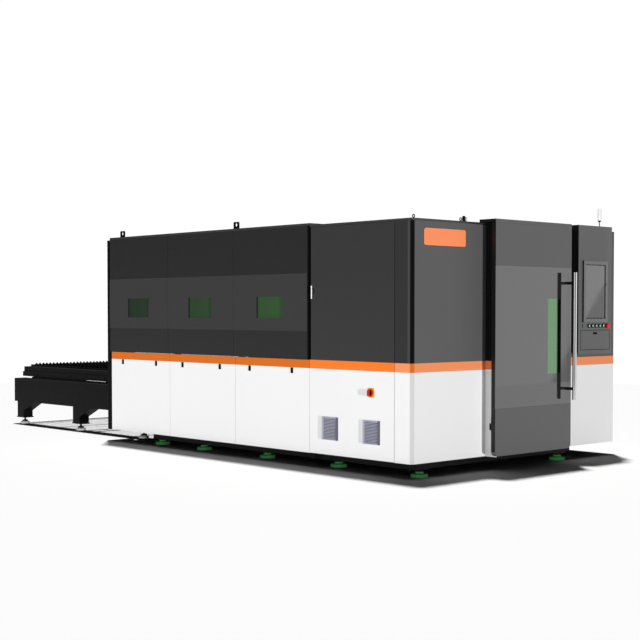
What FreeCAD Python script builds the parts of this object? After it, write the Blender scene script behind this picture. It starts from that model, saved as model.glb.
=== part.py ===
"""Enclosed fiber laser cutting machine with a two-level pallet exchange table.

All sizes are millimetres. Places are written in shop coordinates: x from the left wall, y from the front
wall towards the back, z from the floor. The origin of the model is under the middle of the machine,
so every place has origin_x and origin_y taken off it.
"""
import FreeCAD, Part
import os
import re
import Sketcher

doc = FreeCAD.newDocument("laser_cutting_machine")
dims = doc.addObject("Spreadsheet::Sheet", "Dims")

DRIVING_DIMENSIONS = {
    # where the model's origin lies, in shop coordinates
    "origin_x": 1428.5, "origin_y": 3446.5,
    # enclosure
    "width": 2900, "sheet": 3, "fold": 45, "seam": 4,
    "skirt_z": 124, "stripe_top": 971, "near_top": 2190, "rear_top": 2207,
    "roof_drop": 20, "gap": 2,
    "corner_x": 33, "corner_y": 19, "corner_in_x": 33.8, "corner_in_y": 20.7,
    "near_depth": 1267, "near_upper_depth": 1249, "upper_start": 1301, "upper_end": 4504,
    "lower_end": 4475, "panel_count": 3, "tube": 50, "side_beam_start": 1320,
    "doorway_lap": 10, "panel_step": 1045,
    # side windows and the glossy band they sit in
    "band_low": 1228, "band_high": 1755, "band_thick": 4,
    "pane_start": 1635, "pane_pitch": 1071, "pane_length": 381, "pane_low": 1345, "pane_high": 1546,
    "pane_inset": 17, "pane_thick": 5, "pane_rim": 14,
    # latches of the lower covers
    "clip_offset": 232, "clip_pitch": 610, "clip_count": 2, "clip_low": 842, "clip_high": 890,
    "clip_width": 28,
    "clip_thick": 6,
    # cabinet door on the left wall
    "cabinet_start": 202, "leaf_depth": 40, "cabinet_edge": 196, "pivot_x": 8, "pivot_y": 208,
    "pivot_radius": 4,
    "pivot_clear": 0.05, "pivot_plate": 8, "pivot_reach": 34,
    "vent_near": 368, "vent_far": 890, "vent_width": 212, "vent_low": 260, "vent_high": 468,
    "vent_thick": 22, "vent_rim": 12, "louvre_count": 9, "louvre_depth": 16, "louvre_thick": 1.5,
    "isolator_y": 476, "isolator_z": 706, "isolator_size": 80, "isolator_collar": 44, "isolator_plate": 8,
    "isolator_boss": 38, "isolator_grip": 40, "isolator_grip_width": 11, "isolator_grip_length": 66,
    "isolator_shaft": 5, "isolator_rim": 14,
    "lock_y": 1228, "lock_z": 1581, "rosette_radius": 17, "rosette_thick": 7,
    "lever_length": 120, "lever_width": 15, "lever_thick": 10, "lever_gap": 1, "lock_shaft": 5,
    "cam_thick": 4, "cam_half": 8, "cam_reach": 34,
    # front doorway
    "portal_left": 950, "portal_right": 1873, "portal_depth": 135, "portal_jamb": 60,
    "portal_top": 2182, "portal_lintel": 122, "portal_sill": 66,
    "slab_left": 866, "slab_right": 1957, "slab_front": -184, "slab_back": -139,
    "slab_low": 140, "slab_top": 2181, "slab_radius": 45, "slab_skin": 3,
    "gloss_low": 556, "gloss_high": 1810,
    "door_pane_left": 1605, "door_pane_right": 1795, "door_pane_low": 843, "door_pane_high": 1522,
    "door_pane_thick": 8, "door_pane_rim": 16,
    "hood_left": 864, "hood_low": 2185, "hood_top": 2214,
    "hinge_x": 905, "hinge_y": -120, "hinge_barrel": 12, "hinge_pin": 6, "hinge_running": 0.05,
    "hinge_knuckle": 60, "hinge_gap": 1, "hinge_low": 420, "hinge_pitch": 1480, "hinge_count": 2,
    "hinge_plate": 8,
    "handle_x": 1890, "handle_y": -273, "handle_radius": 19, "handle_low": 597, "handle_high": 1766,
    "standoff_low": 696, "standoff_high": 1668, "standoff_half": 12,
    # operator console
    "console_left": 2201, "console_right": 2740, "console_depth": 85, "console_low": 1000,
    "console_top": 2225, "console_radius": 25,
    "bezel_left": 2265, "bezel_right": 2704, "bezel_low": 1305, "bezel_high": 1890, "bezel_thick": 16,
    "glass_left": 2305, "glass_right": 2628, "glass_low": 1343, "glass_high": 1851,
    "glass_thick": 4,
    "button_x": 2365, "button_pitch": 58, "button_z": 1271, "button_radius": 13, "button_proud": 13,
    "button_count": 5, "button_sides": 20, "button_stem": 5, "button_stem_length": 14, "button_travel": 4,
    "button_clear": 0.5,
    "stop_x": 2656, "stop_radius": 21, "stop_proud": 34, "stop_neck": 9, "stop_travel": 6, "stop_under": 12,
    "flap_left": 2256, "flap_right": 2696, "flap_low": 1045, "flap_high": 1226, "flap_thick": 8,
    "flap_slot_left": 2442, "flap_slot_right": 2502, "flap_slot_low": 1191, "flap_slot_high": 1207,
    "keys_thick": 18, "keys_margin": 28, "flap_pin": 2, "flap_axis_in": 4, "flap_axis_up": 4,
    "flap_lug": 10,
    # rear portal
    "rear_face": 4553, "rear_top_z": 2180, "mouth_left": 300, "mouth_right": 1990, "mouth_top": 1010,
    "rear_skin": 4,
    # inner wall
    "wall_thick": 3, "wall_top": 2100,
    "hatch_left": 950, "hatch_right": 1900, "hatch_low": 790, "hatch_high": 1900,
    # bed
    "bed_left": 165, "bed_right": 2081, "sill_width": 150, "sill_low": 65, "sill_top": 125,
    "bed_front": 20, "bed_back": 4300, "beam_width": 140, "beam_top": 820, "beam_web": 12,
    "cross_width": 60, "front_beam_right": 2218, "front_beam_low": 75, "tie_low": 220, "tie_top": 280,
    "track_tie_start": 1400, "track_tie_pitch": 943, "track_tie_count": 4, "pocket_half": 220,
    "pocket_count": 5,
    "pad_radius": 75, "pad_edge": 30, "pad_shoulder": 38, "pad_top": 50, "pad_count": 4,
    "pad_start": 63, "pad_pitch": 994, "pad_last": 3768, "stud_radius": 10, "nut_radius": 17, "nut_low": 53,
    "nut_sides": 6, "round_sides": 10,
    # tracks and exchange table
    "track_outer": 340, "track_inner": 490, "track_low": 280, "track_top": 570, "track_skin": 8,
    "lower_rail": 364, "track_front": 1345, "table_front": 4340, "table_back": 7185,
    "leg_width": 130, "leg_depth": 145, "leg_base": 80, "leg_plate": 12, "leg_gusset": 255, "leg_drop": 115,
    "leg_back_y": 6970, "leg_middle_y": 5675, "leg_front_y": 4380, "leg_bolt_margin": 22,
    "table_tie": 60, "table_tie_height": 64, "foot_radius": 60, "foot_top": 24, "foot_stud": 12,
    "guide_left": 420, "guide_thick": 10, "guide_top": 592, "guide_end": 6900,
    # pallets; slats are written for the upper level and the lower pallet is the same, dropped
    "table_middle": 1145, "level_drop": 198, "pallet_length": 3110, "outer_start": 4002,
    "inner_start": 1352, "side_outer": 417, "side_step": 437, "side_inner": 533, "comb": 545,
    "side_low": 596, "side_mid": 656, "side_high": 715, "comb_top": 738, "comb_low": 636,
    "pallet_cross": 50, "pallet_bays": 4,
    "slat_low": 646, "slat_high": 760, "slat_valley": 738, "slat_thick": 3, "slat_count": 14,
    "tooth_count": 8, "slat_margin": 70,
    "wheel_radius": 24, "wheel_width": 26, "wheel_start": 508, "wheel_pitch": 750, "wheel_count": 4,
    "side_wall": 12,
    # gantry
    "rail_width": 30, "rail_height": 28, "gantry_y": 1580, "gantry_depth": 180,
    "gantry_low": 905, "gantry_high": 1105, "gantry_skin": 10, "truck_depth": 220, "truck_lead": 20,
    "beam_chamfer": 30, "beam_core": 34, "beam_overhang": 45, "rail_clear": 0.5, "beam_rail_in": 60,
    "shoe_clear": 4, "shoe_lip": 8, "motor_in": 45,
    "truck_width": 110, "motor_size": 90, "motor_height": 150,
    "beam_rail_thick": 20, "beam_rail_height": 24, "beam_rail_low": 935, "beam_rail_high": 1020,
    "carriage_half": 150, "carriage_thick": 24, "carriage_low": 890, "carriage_high": 1130,
    "z_box_half": 70, "z_box_low": 920, "z_box_high": 1330,
    "head_y": 1935, "head_radius": 34, "head_half": 45, "head_low": 880, "head_high": 1190,
    "nozzle_tip": 800, "nozzle_top": 840, "nozzle_radius": 8, "cutter_clear": 1,
    # laser source in the front bay
    "source_left": 260, "source_right": 760, "source_front": 330, "source_back": 1130,
    "source_top": 560, "source_handle": 12, "grip_in": 60, "grip_reach": 40, "grip_low": 260,
    "grip_high": 430,
    # roof fittings
    "lug_near": 2298, "lug_far": 4240, "lug_length": 78, "lug_height": 65, "lug_thick": 12,
    "lug_inset": 12, "lug_hole": 18, "lug_hole_up": 35.5, "lug_arch": 8,
    "eye_near_x": 100, "eye_far_x": 700, "eye_y": 75, "eye_radius": 17, "eye_hole": 10,
    "eye_thick": 9, "eye_neck": 9, "eye_sink": 2, "eye_neck_height": 8,
    "tower_x": 2738, "tower_y": 60, "tower_pole": 8, "tower_lamp": 19,
    "tower_lamp_low": 2290, "tower_high": 2417,
}

for row, (alias, value) in enumerate(DRIVING_DIMENSIONS.items(), 1):
    dims.set("A%d" % row, alias)
    dims.set("B%d" % row, str(value))
    dims.setAlias("B%d" % row, alias)
doc.recompute()

probe = doc.addObject("App::FeaturePython", "Probe")
probe.addProperty("App::PropertyFloat", "Reading")


def cells(expression):
    """Turns the sheet's words in an expression into references to its cells."""
    return re.sub(r"\b[a-z][a-z_0-9]*\b", r"Dims.\g<0>", expression)


def number(expression):
    """The value that an expression of the sheet's words has now."""
    probe.setExpression("Reading", cells(expression))
    probe.recompute()
    return probe.Reading


def bind(item, prop, expression):
    """Ties a property to the sheet."""
    item.setExpression(prop, cells(expression))


def place(item, x, y, z):
    """Puts an item's base at a place given in shop coordinates."""
    bind(item, "Placement.Base.x", "%s - origin_x" % x)
    bind(item, "Placement.Base.y", "%s - origin_y" % y)
    bind(item, "Placement.Base.z", z)


def block(label, x, y, z):
    """A box between two places on each axis."""
    item = doc.addObject("Part::Box", label)
    for prop, (low, high) in zip(("Length", "Width", "Height"), (x, y, z)):
        bind(item, prop, "(%s) - (%s)" % (high, low))
    place(item, x[0], y[0], z[0])
    return item


def stand(item, axis, at, span):
    """Turns an upright piece onto x, y or z and puts its axis through a place on the other two axes."""
    turns = {"x": ((0, 1, 0), 90), "y": ((1, 0, 0), -90), "z": ((0, 0, 1), 0)}
    line, angle = turns[axis]
    item.Placement.Rotation = FreeCAD.Rotation(FreeCAD.Vector(*line), angle)
    spots = {"x": (span[0], at[0], at[1]), "y": (at[0], span[0], at[1]), "z": (at[0], at[1], span[0])}
    place(item, *spots[axis])


def rod(label, axis, at, radius, span):
    """A cylinder along x, y or z through a place on the other two axes."""
    item = doc.addObject("Part::Cylinder", label)
    bind(item, "Radius", radius)
    bind(item, "Height", "(%s) - (%s)" % (span[1], span[0]))
    stand(item, axis, at, span)
    return item


def faceted(label, axis, at, radius, span, sides="round_sides"):
    """A prism of a regular outline: a nut, or a small round piece that gets flat sides."""
    item = doc.addObject("Part::Prism", label)
    bind(item, "Polygon", sides)
    bind(item, "Circumradius", radius)
    bind(item, "Height", "(%s) - (%s)" % (span[1], span[0]))
    stand(item, axis, at, span)
    return item


def fuse(label, pieces):
    """One solid from pieces that meet."""
    item = doc.addObject("Part::MultiFuse", label)
    item.Shapes = pieces
    item.Refine = True
    return item


def group(label, pieces):
    """Separate solids that share one node."""
    item = doc.addObject("Part::Compound", label)
    item.Links = pieces
    return item


def cut(label, base, tools):
    """A piece less its openings."""
    item = doc.addObject("Part::Cut", label)
    item.Base = base
    item.Tool = tools[0] if len(tools) == 1 else group(label + "_tools", tools)
    item.Refine = True
    return item


def rounded(label, base, radius, chooser):
    """A piece with the edges that the chooser picks rounded."""
    doc.recompute()
    item = doc.addObject("Part::Fillet", label)
    item.Base = base
    size = number(radius)
    item.Edges = [(n, size, size) for n, edge in enumerate(base.Shape.Edges, 1) if chooser(edge)]
    return item


def plane_of(body, role):
    return next(item for item in body.Origin.OriginFeatures if item.Role == role)


def outline(body, role, points, holes=()):
    """A sketch of closed outlines whose corners are all bound to the sheet."""
    sketch = body.newObject("Sketcher::SketchObject", body.Name + "_outline")
    sketch.AttachmentSupport = [(plane_of(body, role), "")]
    sketch.MapMode = "FlatFace"
    for corners in (points, *holes):
        spots = [FreeCAD.Vector(number(u), number(v), 0) for u, v in corners]
        first = sketch.GeometryCount
        sketch.addGeometry([Part.LineSegment(a, b) for a, b in zip(spots, spots[1:] + spots[:1])], False)
        for n in range(len(spots)):
            after = first + (n + 1) % len(spots)
            sketch.addConstraint(Sketcher.Constraint("Coincident", first + n, 2, after, 1))
        for n, (u, v) in enumerate(corners):
            for kind, expression, value in (("DistanceX", u, spots[n].x), ("DistanceY", v, spots[n].y)):
                index = sketch.addConstraint(Sketcher.Constraint(kind, -1, 1, first + n, 1, value))
                sketch.setExpression("Constraints[%d]" % index, cells(expression))
    return sketch


def profile(label, role, points, span, holes=(), lift="0"):
    """A profile drawn square to the third axis and padded between two places on it."""
    body = doc.addObject("PartDesign::Body", label)
    pad = body.newObject("PartDesign::Pad", label + "_pad")
    pad.Profile = outline(body, role, points, holes)
    bind(pad, "Length", "(%s) - (%s)" % (span[1], span[0]))
    starts = {"XY_Plane": ("0", "0", span[0]), "XZ_Plane": ("0", span[1], lift),
              "YZ_Plane": (span[0], "0", lift)}
    place(body, *starts[role])
    return body


def tray(label, x, y, z, opens):
    """A folded sheet cover: a box of sheet whose one side, such as +x, is open."""
    outer = block(label + "_outer", x, y, z)
    spans = []
    for axis, (low, high) in zip("xyz", (x, y, z)):
        inner_low = "%s - 1" % low if opens == "-" + axis else "%s + sheet" % low
        inner_high = "%s + 1" % high if opens == "+" + axis else "%s - sheet" % high
        spans.append((inner_low, inner_high))
    return cut(label, outer, [block(label + "_inner", *spans)])


def mirrored(points):
    """The same profile on the other side of the table's middle line."""
    return [("2 * table_middle - (%s)" % u, v) for u, v in points]


def level_in_y(edge):
    """True for a straight edge that runs front to back."""
    box = edge.BoundBox
    return box.YLength > 1 and box.XLength < 0.01 and box.ZLength < 0.01


nodes = []


def keep(item):
    """Marks an item as a sub-part of the machine, under its own label."""
    nodes.append(item)
    return item


# ---------------------------------------------------------------- bed
def bed_frame():
    """Welded bed: two sills on the floor pads, cross beams, and two side beams with pockets.

    The sills end behind the last pads; the side beams go on to the rear tie between the frame's rails.
    """
    parts = []
    pockets = []
    for side, centre in (("left", "bed_left"), ("right", "bed_right")):
        parts.append(block("sill_" + side, ("%s - sill_width / 2" % centre, "%s + sill_width / 2" % centre),
                           ("bed_front", "pad_last + cross_width"), ("sill_low", "sill_top")))
        parts.append(block("side_beam_" + side,
                           ("%s - beam_width / 2" % centre, "%s + beam_width / 2" % centre),
                           ("side_beam_start", "bed_back"), ("sill_top", "beam_top")))
        wall = "%s - beam_width / 2" % centre if side == "right" else "%s + beam_web - beam_width / 2" % centre
        far = "%s + beam_width / 2 - beam_web" % centre if side == "right" else "%s + beam_width / 2" % centre
        for n in range(int(number("pocket_count"))):
            middle = "(side_beam_start + (bed_back - side_beam_start) * %s / pocket_count)" % (n + 0.5)
            pockets.append(block("pocket_%s_%d" % (side, n), (wall, far),
                                 ("%s - pocket_half" % middle, "%s + pocket_half" % middle),
                                 ("tie_top + beam_web", "beam_top - 2 * beam_web")))
    inner = ("bed_left", "bed_right")
    outer = ("fold", "width - fold")
    parts.append(block("front_beam", ("bed_left - sill_width / 2", "front_beam_right"),
                       ("bed_front", "bed_front + cross_width"), ("front_beam_low", "skirt_z")))
    parts.append(block("rear_tie", ("fold + tube", "width - fold - tube"),
                       ("bed_back - cross_width", "bed_back"), ("sill_top", "sill_top + tube")))
    ties = (("source_front + cross_width", inner), ("source_back - 2 * cross_width", inner),
            ("near_upper_depth", outer), ("near_upper_depth + 1.5 * panel_step", inner))
    for n, (start, reach) in enumerate(ties):
        parts.append(block("cross_%d" % n, reach, (start, "%s + cross_width" % start),
                           ("sill_low", "sill_top")))
    for n in range(int(number("track_tie_count"))):
        start = "(track_tie_start + track_tie_pitch * %d)" % n
        parts.append(block("track_tie_%d" % n, inner, (start, "%s + cross_width" % start),
                           ("tie_low", "tie_top")))
    body = fuse("bed_frame_body", parts)
    return cut("bed_frame", body, pockets)


def levelling_feet():
    """Five green floor pads in a row under each sill, each with its stud and a lock nut against the sill."""
    pads = []
    studs = []
    for side in ("bed_left", "bed_right"):
        rows = ["pad_start + pad_pitch * %d" % step for step in range(int(number("pad_count")))] + ["pad_last"]
        for n, y in enumerate(rows):
            at = (side, y)
            name = "%s_%d" % (side, n)
            flange = faceted("pad_flange_" + name, "z", at, "pad_radius", ("0", "pad_edge"))
            hub = faceted("pad_hub_" + name, "z", at, "pad_shoulder", ("pad_edge", "pad_top"))
            pads.append(fuse("pad_" + name, [flange, hub]))
            stem = faceted("stem_" + name, "z", at, "stud_radius", ("pad_top", "nut_low"))
            nut = faceted("nut_" + name, "z", at, "nut_radius", ("nut_low", "sill_low"), "nut_sides")
            studs.append(fuse("stud_" + name, [stem, nut]))
    keep(group("levelling_pads", pads))
    keep(group("levelling_studs", studs))


def gantry_rails():
    """Guide rails on top of the two side beams."""
    rails = []
    for side in ("bed_left", "bed_right"):
        rails.append(block("rail_" + side, ("%s - rail_width / 2" % side, "%s + rail_width / 2" % side),
                           ("side_beam_start", "bed_back"), ("beam_top", "beam_top + rail_height")))
    return group("gantry_rails", rails)


# ---------------------------------------------------------------- tracks and exchange table
def track_outline():
    """Section of a two-level track: a web with a flange at the top, a ledge for the lower wheels and a foot."""
    return [("track_outer", "track_low"), ("track_inner", "track_low"),
            ("track_inner", "track_low + track_skin"),
            ("track_outer + track_skin", "track_low + track_skin"),
            ("track_outer + track_skin", "lower_rail"), ("track_inner", "lower_rail"),
            ("track_inner", "lower_rail + track_skin"),
            ("track_outer + track_skin", "lower_rail + track_skin"),
            ("track_outer + track_skin", "track_top - track_skin"), ("track_inner", "track_top - track_skin"),
            ("track_inner", "track_top"), ("track_outer", "track_top")]


def tracks(name, span):
    """The left and the right track over one stretch."""
    left = profile(name + "_left", "XZ_Plane", track_outline(), span)
    right = profile(name + "_right", "XZ_Plane", mirrored(track_outline()), span)
    return [left, right]


def exchange_table():
    """Welded frame behind the machine: tracks with guide strips, ties, and six legs with gussets."""
    parts = tracks("table_track", ("table_front", "table_back"))
    for n, y in enumerate(("table_front", "leg_middle_y", "table_back - table_tie")):
        parts.append(block("table_tie_%d" % n,
                           ("track_outer + track_skin", "2 * table_middle - track_outer - track_skin"),
                           (y, "%s + table_tie" % y), ("track_low", "track_low + table_tie_height")))
    for side, low, high in (("left", "guide_left", "guide_left + guide_thick"),
                            ("right", "2 * table_middle - guide_left - guide_thick",
                             "2 * table_middle - guide_left")):
        parts.append(block("guide_" + side, (low, high), ("table_front", "guide_end"),
                           ("track_top", "guide_top")))
    sole = [("0", "leg_base + leg_plate"), ("leg_depth", "leg_base + leg_plate")]
    forward = sole + [("leg_depth", "track_low"), ("0 - leg_gusset", "track_low"),
                      ("0", "track_low - leg_drop")]
    backward = sole + [("leg_depth", "track_low - leg_drop"), ("leg_depth + leg_gusset", "track_low"),
                       ("0", "track_low")]
    for y, leg in (("leg_back_y", forward), ("leg_middle_y", forward), ("leg_front_y", backward)):
        corners = [("%s + %s" % (y, u), v) for u, v in leg]
        for side, low in (("left", "track_outer"), ("right", "2 * table_middle - track_outer - leg_width")):
            high = "%s + leg_width" % low
            parts.append(profile("leg_%s_%s" % (side, y), "YZ_Plane", corners, (low, high)))
            parts.append(block("leg_plate_%s_%s" % (side, y), (low, high),
                               ("%s - leg_bolt_margin" % y, "%s + leg_depth + leg_bolt_margin" % y),
                               ("leg_base", "leg_base + leg_plate")))
    return fuse("exchange_table", parts)


def table_feet():
    """Six round feet with studs under the legs."""
    feet = []
    for y in ("leg_back_y", "leg_middle_y", "leg_front_y"):
        for side, x in (("left", "track_outer + leg_width / 2"),
                        ("right", "2 * table_middle - track_outer - leg_width / 2")):
            at = (x, "%s + leg_depth / 2" % y)
            sole = faceted("sole_%s_%s" % (side, y), "z", at, "foot_radius", ("0", "foot_top"))
            stem = faceted("foot_stem_%s_%s" % (side, y), "z", at, "foot_stud", ("foot_top", "leg_base"))
            feet.append(fuse("foot_%s_%s" % (side, y), [sole, stem]))
    return group("table_feet", feet)


# ---------------------------------------------------------------- enclosure
def enclosure_frame():
    """Welded square tube frame that carries the covers: rails, posts, roof bows and floor ties."""
    parts = []
    low = ("sill_top", "sill_top + tube")
    high = ("near_top - roof_drop - tube", "near_top - roof_drop")
    across = ("fold", "width - fold")
    lanes = (("left", "fold", "fold + tube"), ("right", "width - fold - tube", "width - fold"))
    posts = ("fold", "near_upper_depth", "near_upper_depth + panel_step", "near_upper_depth + 2 * panel_step",
             "lower_end - tube")
    for side, x0, x1 in lanes:
        parts.append(block("rail_low_" + side, (x0, x1), ("fold", "lower_end"), low))
        parts.append(block("rail_high_" + side, (x0, x1), ("fold", "rear_face - rear_skin"), high))
        for n, y in enumerate(posts):
            parts.append(block("post_%s_%d" % (side, n), (x0, x1), (y, "%s + tube" % y), (low[0], high[1])))
    for n, y in enumerate(posts):
        parts.append(block("bow_%d" % n, across, (y, "%s + tube" % y), high))
    for n, y in enumerate(posts[:2]):
        parts.append(block("floor_tie_%d" % n, across, (y, "%s + tube" % y), low))
    return fuse("enclosure_frame", parts)


def front_left_panel():
    """Folded cover: lip, side return, flat corner chamfer, front wall and a lip inside the doorway."""
    wall_top = "near_top - roof_drop"
    end = "portal_left + doorway_lap"
    corners = [("0", "cabinet_edge"), ("0", "corner_y"), ("corner_x", "0"), (end, "0"), (end, "fold"),
               ("%s - sheet" % end, "fold"), ("%s - sheet" % end, "sheet"), ("corner_in_x", "sheet"),
               ("sheet", "corner_in_y"), ("sheet", "cabinet_edge - sheet"), ("fold", "cabinet_edge - sheet"),
               ("fold", "cabinet_edge")]
    return profile("front_left_panel", "XY_Plane", corners, ("skirt_z", wall_top))


def front_right_panel():
    """Folded cover on the console side: front wall and right side, with a lip at each end."""
    wall_top = "near_top - roof_drop"
    side = "width - sheet"
    start = "portal_right - doorway_lap"
    back = "near_depth - gap"
    corners = [(start, "0"), ("width - corner_x", "0"), ("width", "corner_y"), ("width", back),
               ("width - fold", back),
               ("width - fold", "%s - sheet" % back), (side, "%s - sheet" % back), (side, "corner_in_y"),
               ("width - corner_in_x", "sheet"), ("%s + sheet" % start, "sheet"),
               ("%s + sheet" % start, "fold"),
               (start, "fold")]
    sheet_body = profile("front_right_body", "XY_Plane", corners, ("skirt_z", wall_top))
    window = block("flap_bay_cut", ("flap_left - keys_margin / 2", "flap_right + keys_margin / 2"),
                   ("0 - 1", "sheet + 1"),
                   ("flap_low - keys_margin / 2", "button_z + keys_margin"))
    return cut("front_right_panel", sheet_body, [window])


def panel_row(name, start, end, x, z, opens, openings=False):
    """Three covers in a row with seams between them; the left upper ones have window openings."""
    covers = []
    for n in range(int(number("panel_count"))):
        first = "%s + ((%s) - (%s)) * %d / panel_count + seam / 2" % (start, end, start, n)
        last = "%s + ((%s) - (%s)) * %d / panel_count - seam / 2" % (start, end, start, n + 1)
        cover = tray("%s_%d" % (name, n), x, (first, last), z, opens)
        if openings:
            near = "(pane_start + pane_pitch * %d)" % n
            pane = (near, "%s + pane_length" % near)
            rim = block("rim_%d" % n, ("sheet", "pane_inset + pane_thick"),
                        ("%s - pane_rim" % pane[0], "%s + pane_rim" % pane[1]),
                        ("pane_low - pane_rim", "pane_high + pane_rim"))
            hole = block("opening_%d" % n, ("0 - 1", "fold"), pane, ("pane_low", "pane_high"))
            cover = cut("%s_open_%d" % (name, n), fuse("%s_rimmed_%d" % (name, n), [cover, rim]), [hole])
        covers.append(cover)
    return group(name, covers)


def window_band():
    """Glossy plates on the upper left covers, with an opening at each window."""
    plates = []
    for n in range(int(number("panel_count"))):
        first = "upper_start + (upper_end - upper_start) * %d / panel_count + seam / 4" % n
        last = "upper_start + (upper_end - upper_start) * %d / panel_count - seam / 4" % (n + 1)
        near = "(pane_start + pane_pitch * %d)" % n
        plate = block("band_plate_%d" % n, ("0 - band_thick", "0"), (first, last), ("band_low", "band_high"))
        hole = block("band_hole_%d" % n, ("0 - band_thick - 1", "1"), (near, "%s + pane_length" % near),
                     ("pane_low", "pane_high"))
        plates.append(cut("band_%d" % n, plate, [hole]))
    return group("window_band", plates)


def window_panes():
    """Green laser-safe panes held in the rims of the upper left covers."""
    panes = []
    for n in range(int(number("panel_count"))):
        near = "(pane_start + pane_pitch * %d)" % n
        panes.append(block("pane_%d" % n, ("pane_inset", "pane_inset + pane_thick"),
                           (near, "%s + pane_length" % near), ("pane_low", "pane_high")))
    return group("window_panes", panes)


def panel_clips():
    """Black latches at the top of each lower cover, on both sides of the machine."""
    clips = []
    for side, x in (("left", ("0 - clip_thick", "0")), ("right", ("width", "width + clip_thick"))):
        for n in range(int(number("panel_count"))):
            for spot in range(int(number("clip_count"))):
                start = "(near_depth + (lower_end - near_depth) * %d / panel_count)" % n
                y = "(%s + clip_offset + clip_pitch * %d)" % (start, spot)
                clips.append(block("clip_%s_%d_%d" % (side, n, spot), x, (y, "%s + clip_width" % y),
                                   ("clip_low", "clip_high")))
    return group("panel_clips", clips)


def rear_portal():
    """Black folded frame at the back, open inwards, with the mouth that the pallets pass through."""
    outer = block("rear_outer", ("0", "width"), ("lower_end", "rear_face"), ("skirt_z", "rear_top_z"))
    inner_low = block("rear_inner_left", ("rear_skin", "mouth_left - rear_skin"),
                      ("lower_end - 1", "rear_face - rear_skin"),
                      ("skirt_z + rear_skin", "rear_top_z - rear_skin"))
    inner_right = block("rear_inner_right", ("mouth_right + rear_skin", "width - rear_skin"),
                        ("lower_end - 1", "rear_face - rear_skin"),
                        ("skirt_z + rear_skin", "rear_top_z - rear_skin"))
    inner_top = block("rear_inner_top", ("mouth_left - rear_skin * 2", "mouth_right + rear_skin * 2"),
                      ("lower_end - 1", "rear_face - rear_skin"),
                      ("mouth_top + rear_skin", "rear_top_z - rear_skin"))
    mouth = block("mouth", ("mouth_left", "mouth_right"), ("lower_end - 1", "rear_face + 1"),
                  ("skirt_z - 1", "mouth_top"))
    hollow = fuse("rear_hollow", [inner_low, inner_right, inner_top])
    step = block("rear_notch", ("0 - 1", "fold + sheet"), ("lower_end - 1", "upper_end + gap"),
                 ("stripe_top", "rear_top_z + 1"))
    far_step = block("rear_notch_right", ("width - fold - sheet", "width + 1"),
                     ("lower_end - 1", "upper_end + gap"),
                     ("stripe_top", "rear_top_z + 1"))
    return cut("rear_portal", outer, [fuse("rear_cuts", [hollow, mouth, step, far_step])])


def roof_panels():
    """Two folded roof covers; the rear one stands a little higher."""
    near = tray("roof_near", ("0", "width"), ("0", "near_depth - gap"), ("near_top - roof_drop", "near_top"),
                "-z")
    rear = tray("roof_rear", ("0", "width"), ("near_depth", "upper_end"),
                ("rear_top - roof_drop", "rear_top"), "-z")
    return group("roof_panels", [near, rear])


def partition_wall():
    """Inner wall between the front bay and the cutting room, with the front hatch."""
    face = "near_upper_depth + tube"
    wall = block("wall_sheet", ("fold + tube / 2", "width - fold - tube / 2"),
                 (face, "%s + wall_thick" % face),
                 ("sill_top + tube", "wall_top"))
    hatch = block("hatch_cut", ("hatch_left", "hatch_right"), ("%s - 1" % face, "%s + wall_thick + 1" % face),
                  ("hatch_low", "hatch_high"))
    return cut("partition_wall", wall, [hatch])


def laser_source():
    """Sealed laser source on the bed's cross beams, with two grab handles on its front."""
    box = block("source_box", ("source_left", "source_right"), ("source_front", "source_back"),
                ("sill_top", "source_top"))
    handles = []
    for n, x in enumerate(("source_left + grip_in", "source_right - grip_in - source_handle")):
        bar = block("source_bar_%d" % n, (x, "%s + source_handle" % x),
                    ("source_front - grip_reach", "source_front"),
                    ("grip_low", "grip_high"))
        gap = block("source_grip_%d" % n, ("%s - 1" % x, "%s + source_handle + 1" % x),
                    ("source_front - grip_reach + source_handle", "source_front"),
                    ("grip_low + source_handle", "grip_high - source_handle"))
        handles.append(cut("source_handle_%d" % n, bar, [gap]))
    return fuse("laser_source", [box] + handles)


# ---------------------------------------------------------------- roof fittings
def lifting_lugs():
    """Four lifting plates with cut corners and round holes, welded along the rear roof's edges."""
    lugs = []
    for side, x in (("left", "lug_inset"), ("right", "width - lug_inset - lug_thick")):
        for y in ("lug_near", "lug_far"):
            corners = [(y, "rear_top"), ("%s + lug_length" % y, "rear_top"),
                       ("%s + lug_length" % y, "rear_top + lug_height - lug_arch"),
                       ("%s + lug_length - lug_arch" % y, "rear_top + lug_height"),
                       ("%s + lug_arch" % y, "rear_top + lug_height"),
                       (y, "rear_top + lug_height - lug_arch")]
            plate = profile("lug_plate_%s_%s" % (side, y), "YZ_Plane", corners, (x, "%s + lug_thick" % x))
            hole = rod("lug_hole_%s_%s" % (side, y), "x",
                       ("%s + lug_length / 2" % y, "rear_top + lug_hole_up"),
                       "lug_hole", ("%s - 1" % x, "%s + lug_thick + 1" % x))
            lugs.append(cut("lug_%s_%s" % (side, y), plate, [hole]))
    return group("lifting_lugs", lugs)


def ring_eyes():
    """Two ring eyes screwed into the front roof cover."""
    eyes = []
    for x in ("eye_near_x", "eye_far_x"):
        centre = "near_top + eye_neck_height + eye_radius - eye_sink"
        ring = rod("ring_" + x, "y", (x, centre), "eye_radius",
                   ("eye_y - eye_thick / 2", "eye_y + eye_thick / 2"))
        hole = rod("ring_hole_" + x, "y", (x, centre), "eye_hole", ("eye_y - eye_thick", "eye_y + eye_thick"))
        neck = block("ring_neck_" + x, ("%s - eye_neck" % x, "%s + eye_neck" % x),
                     ("eye_y - eye_thick / 2", "eye_y + eye_thick / 2"),
                     ("near_top", "near_top + eye_neck_height + 1"))
        eyes.append(cut("eye_" + x, fuse("eye_blank_" + x, [ring, neck]), [hole]))
    return group("ring_eyes", eyes)


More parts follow.
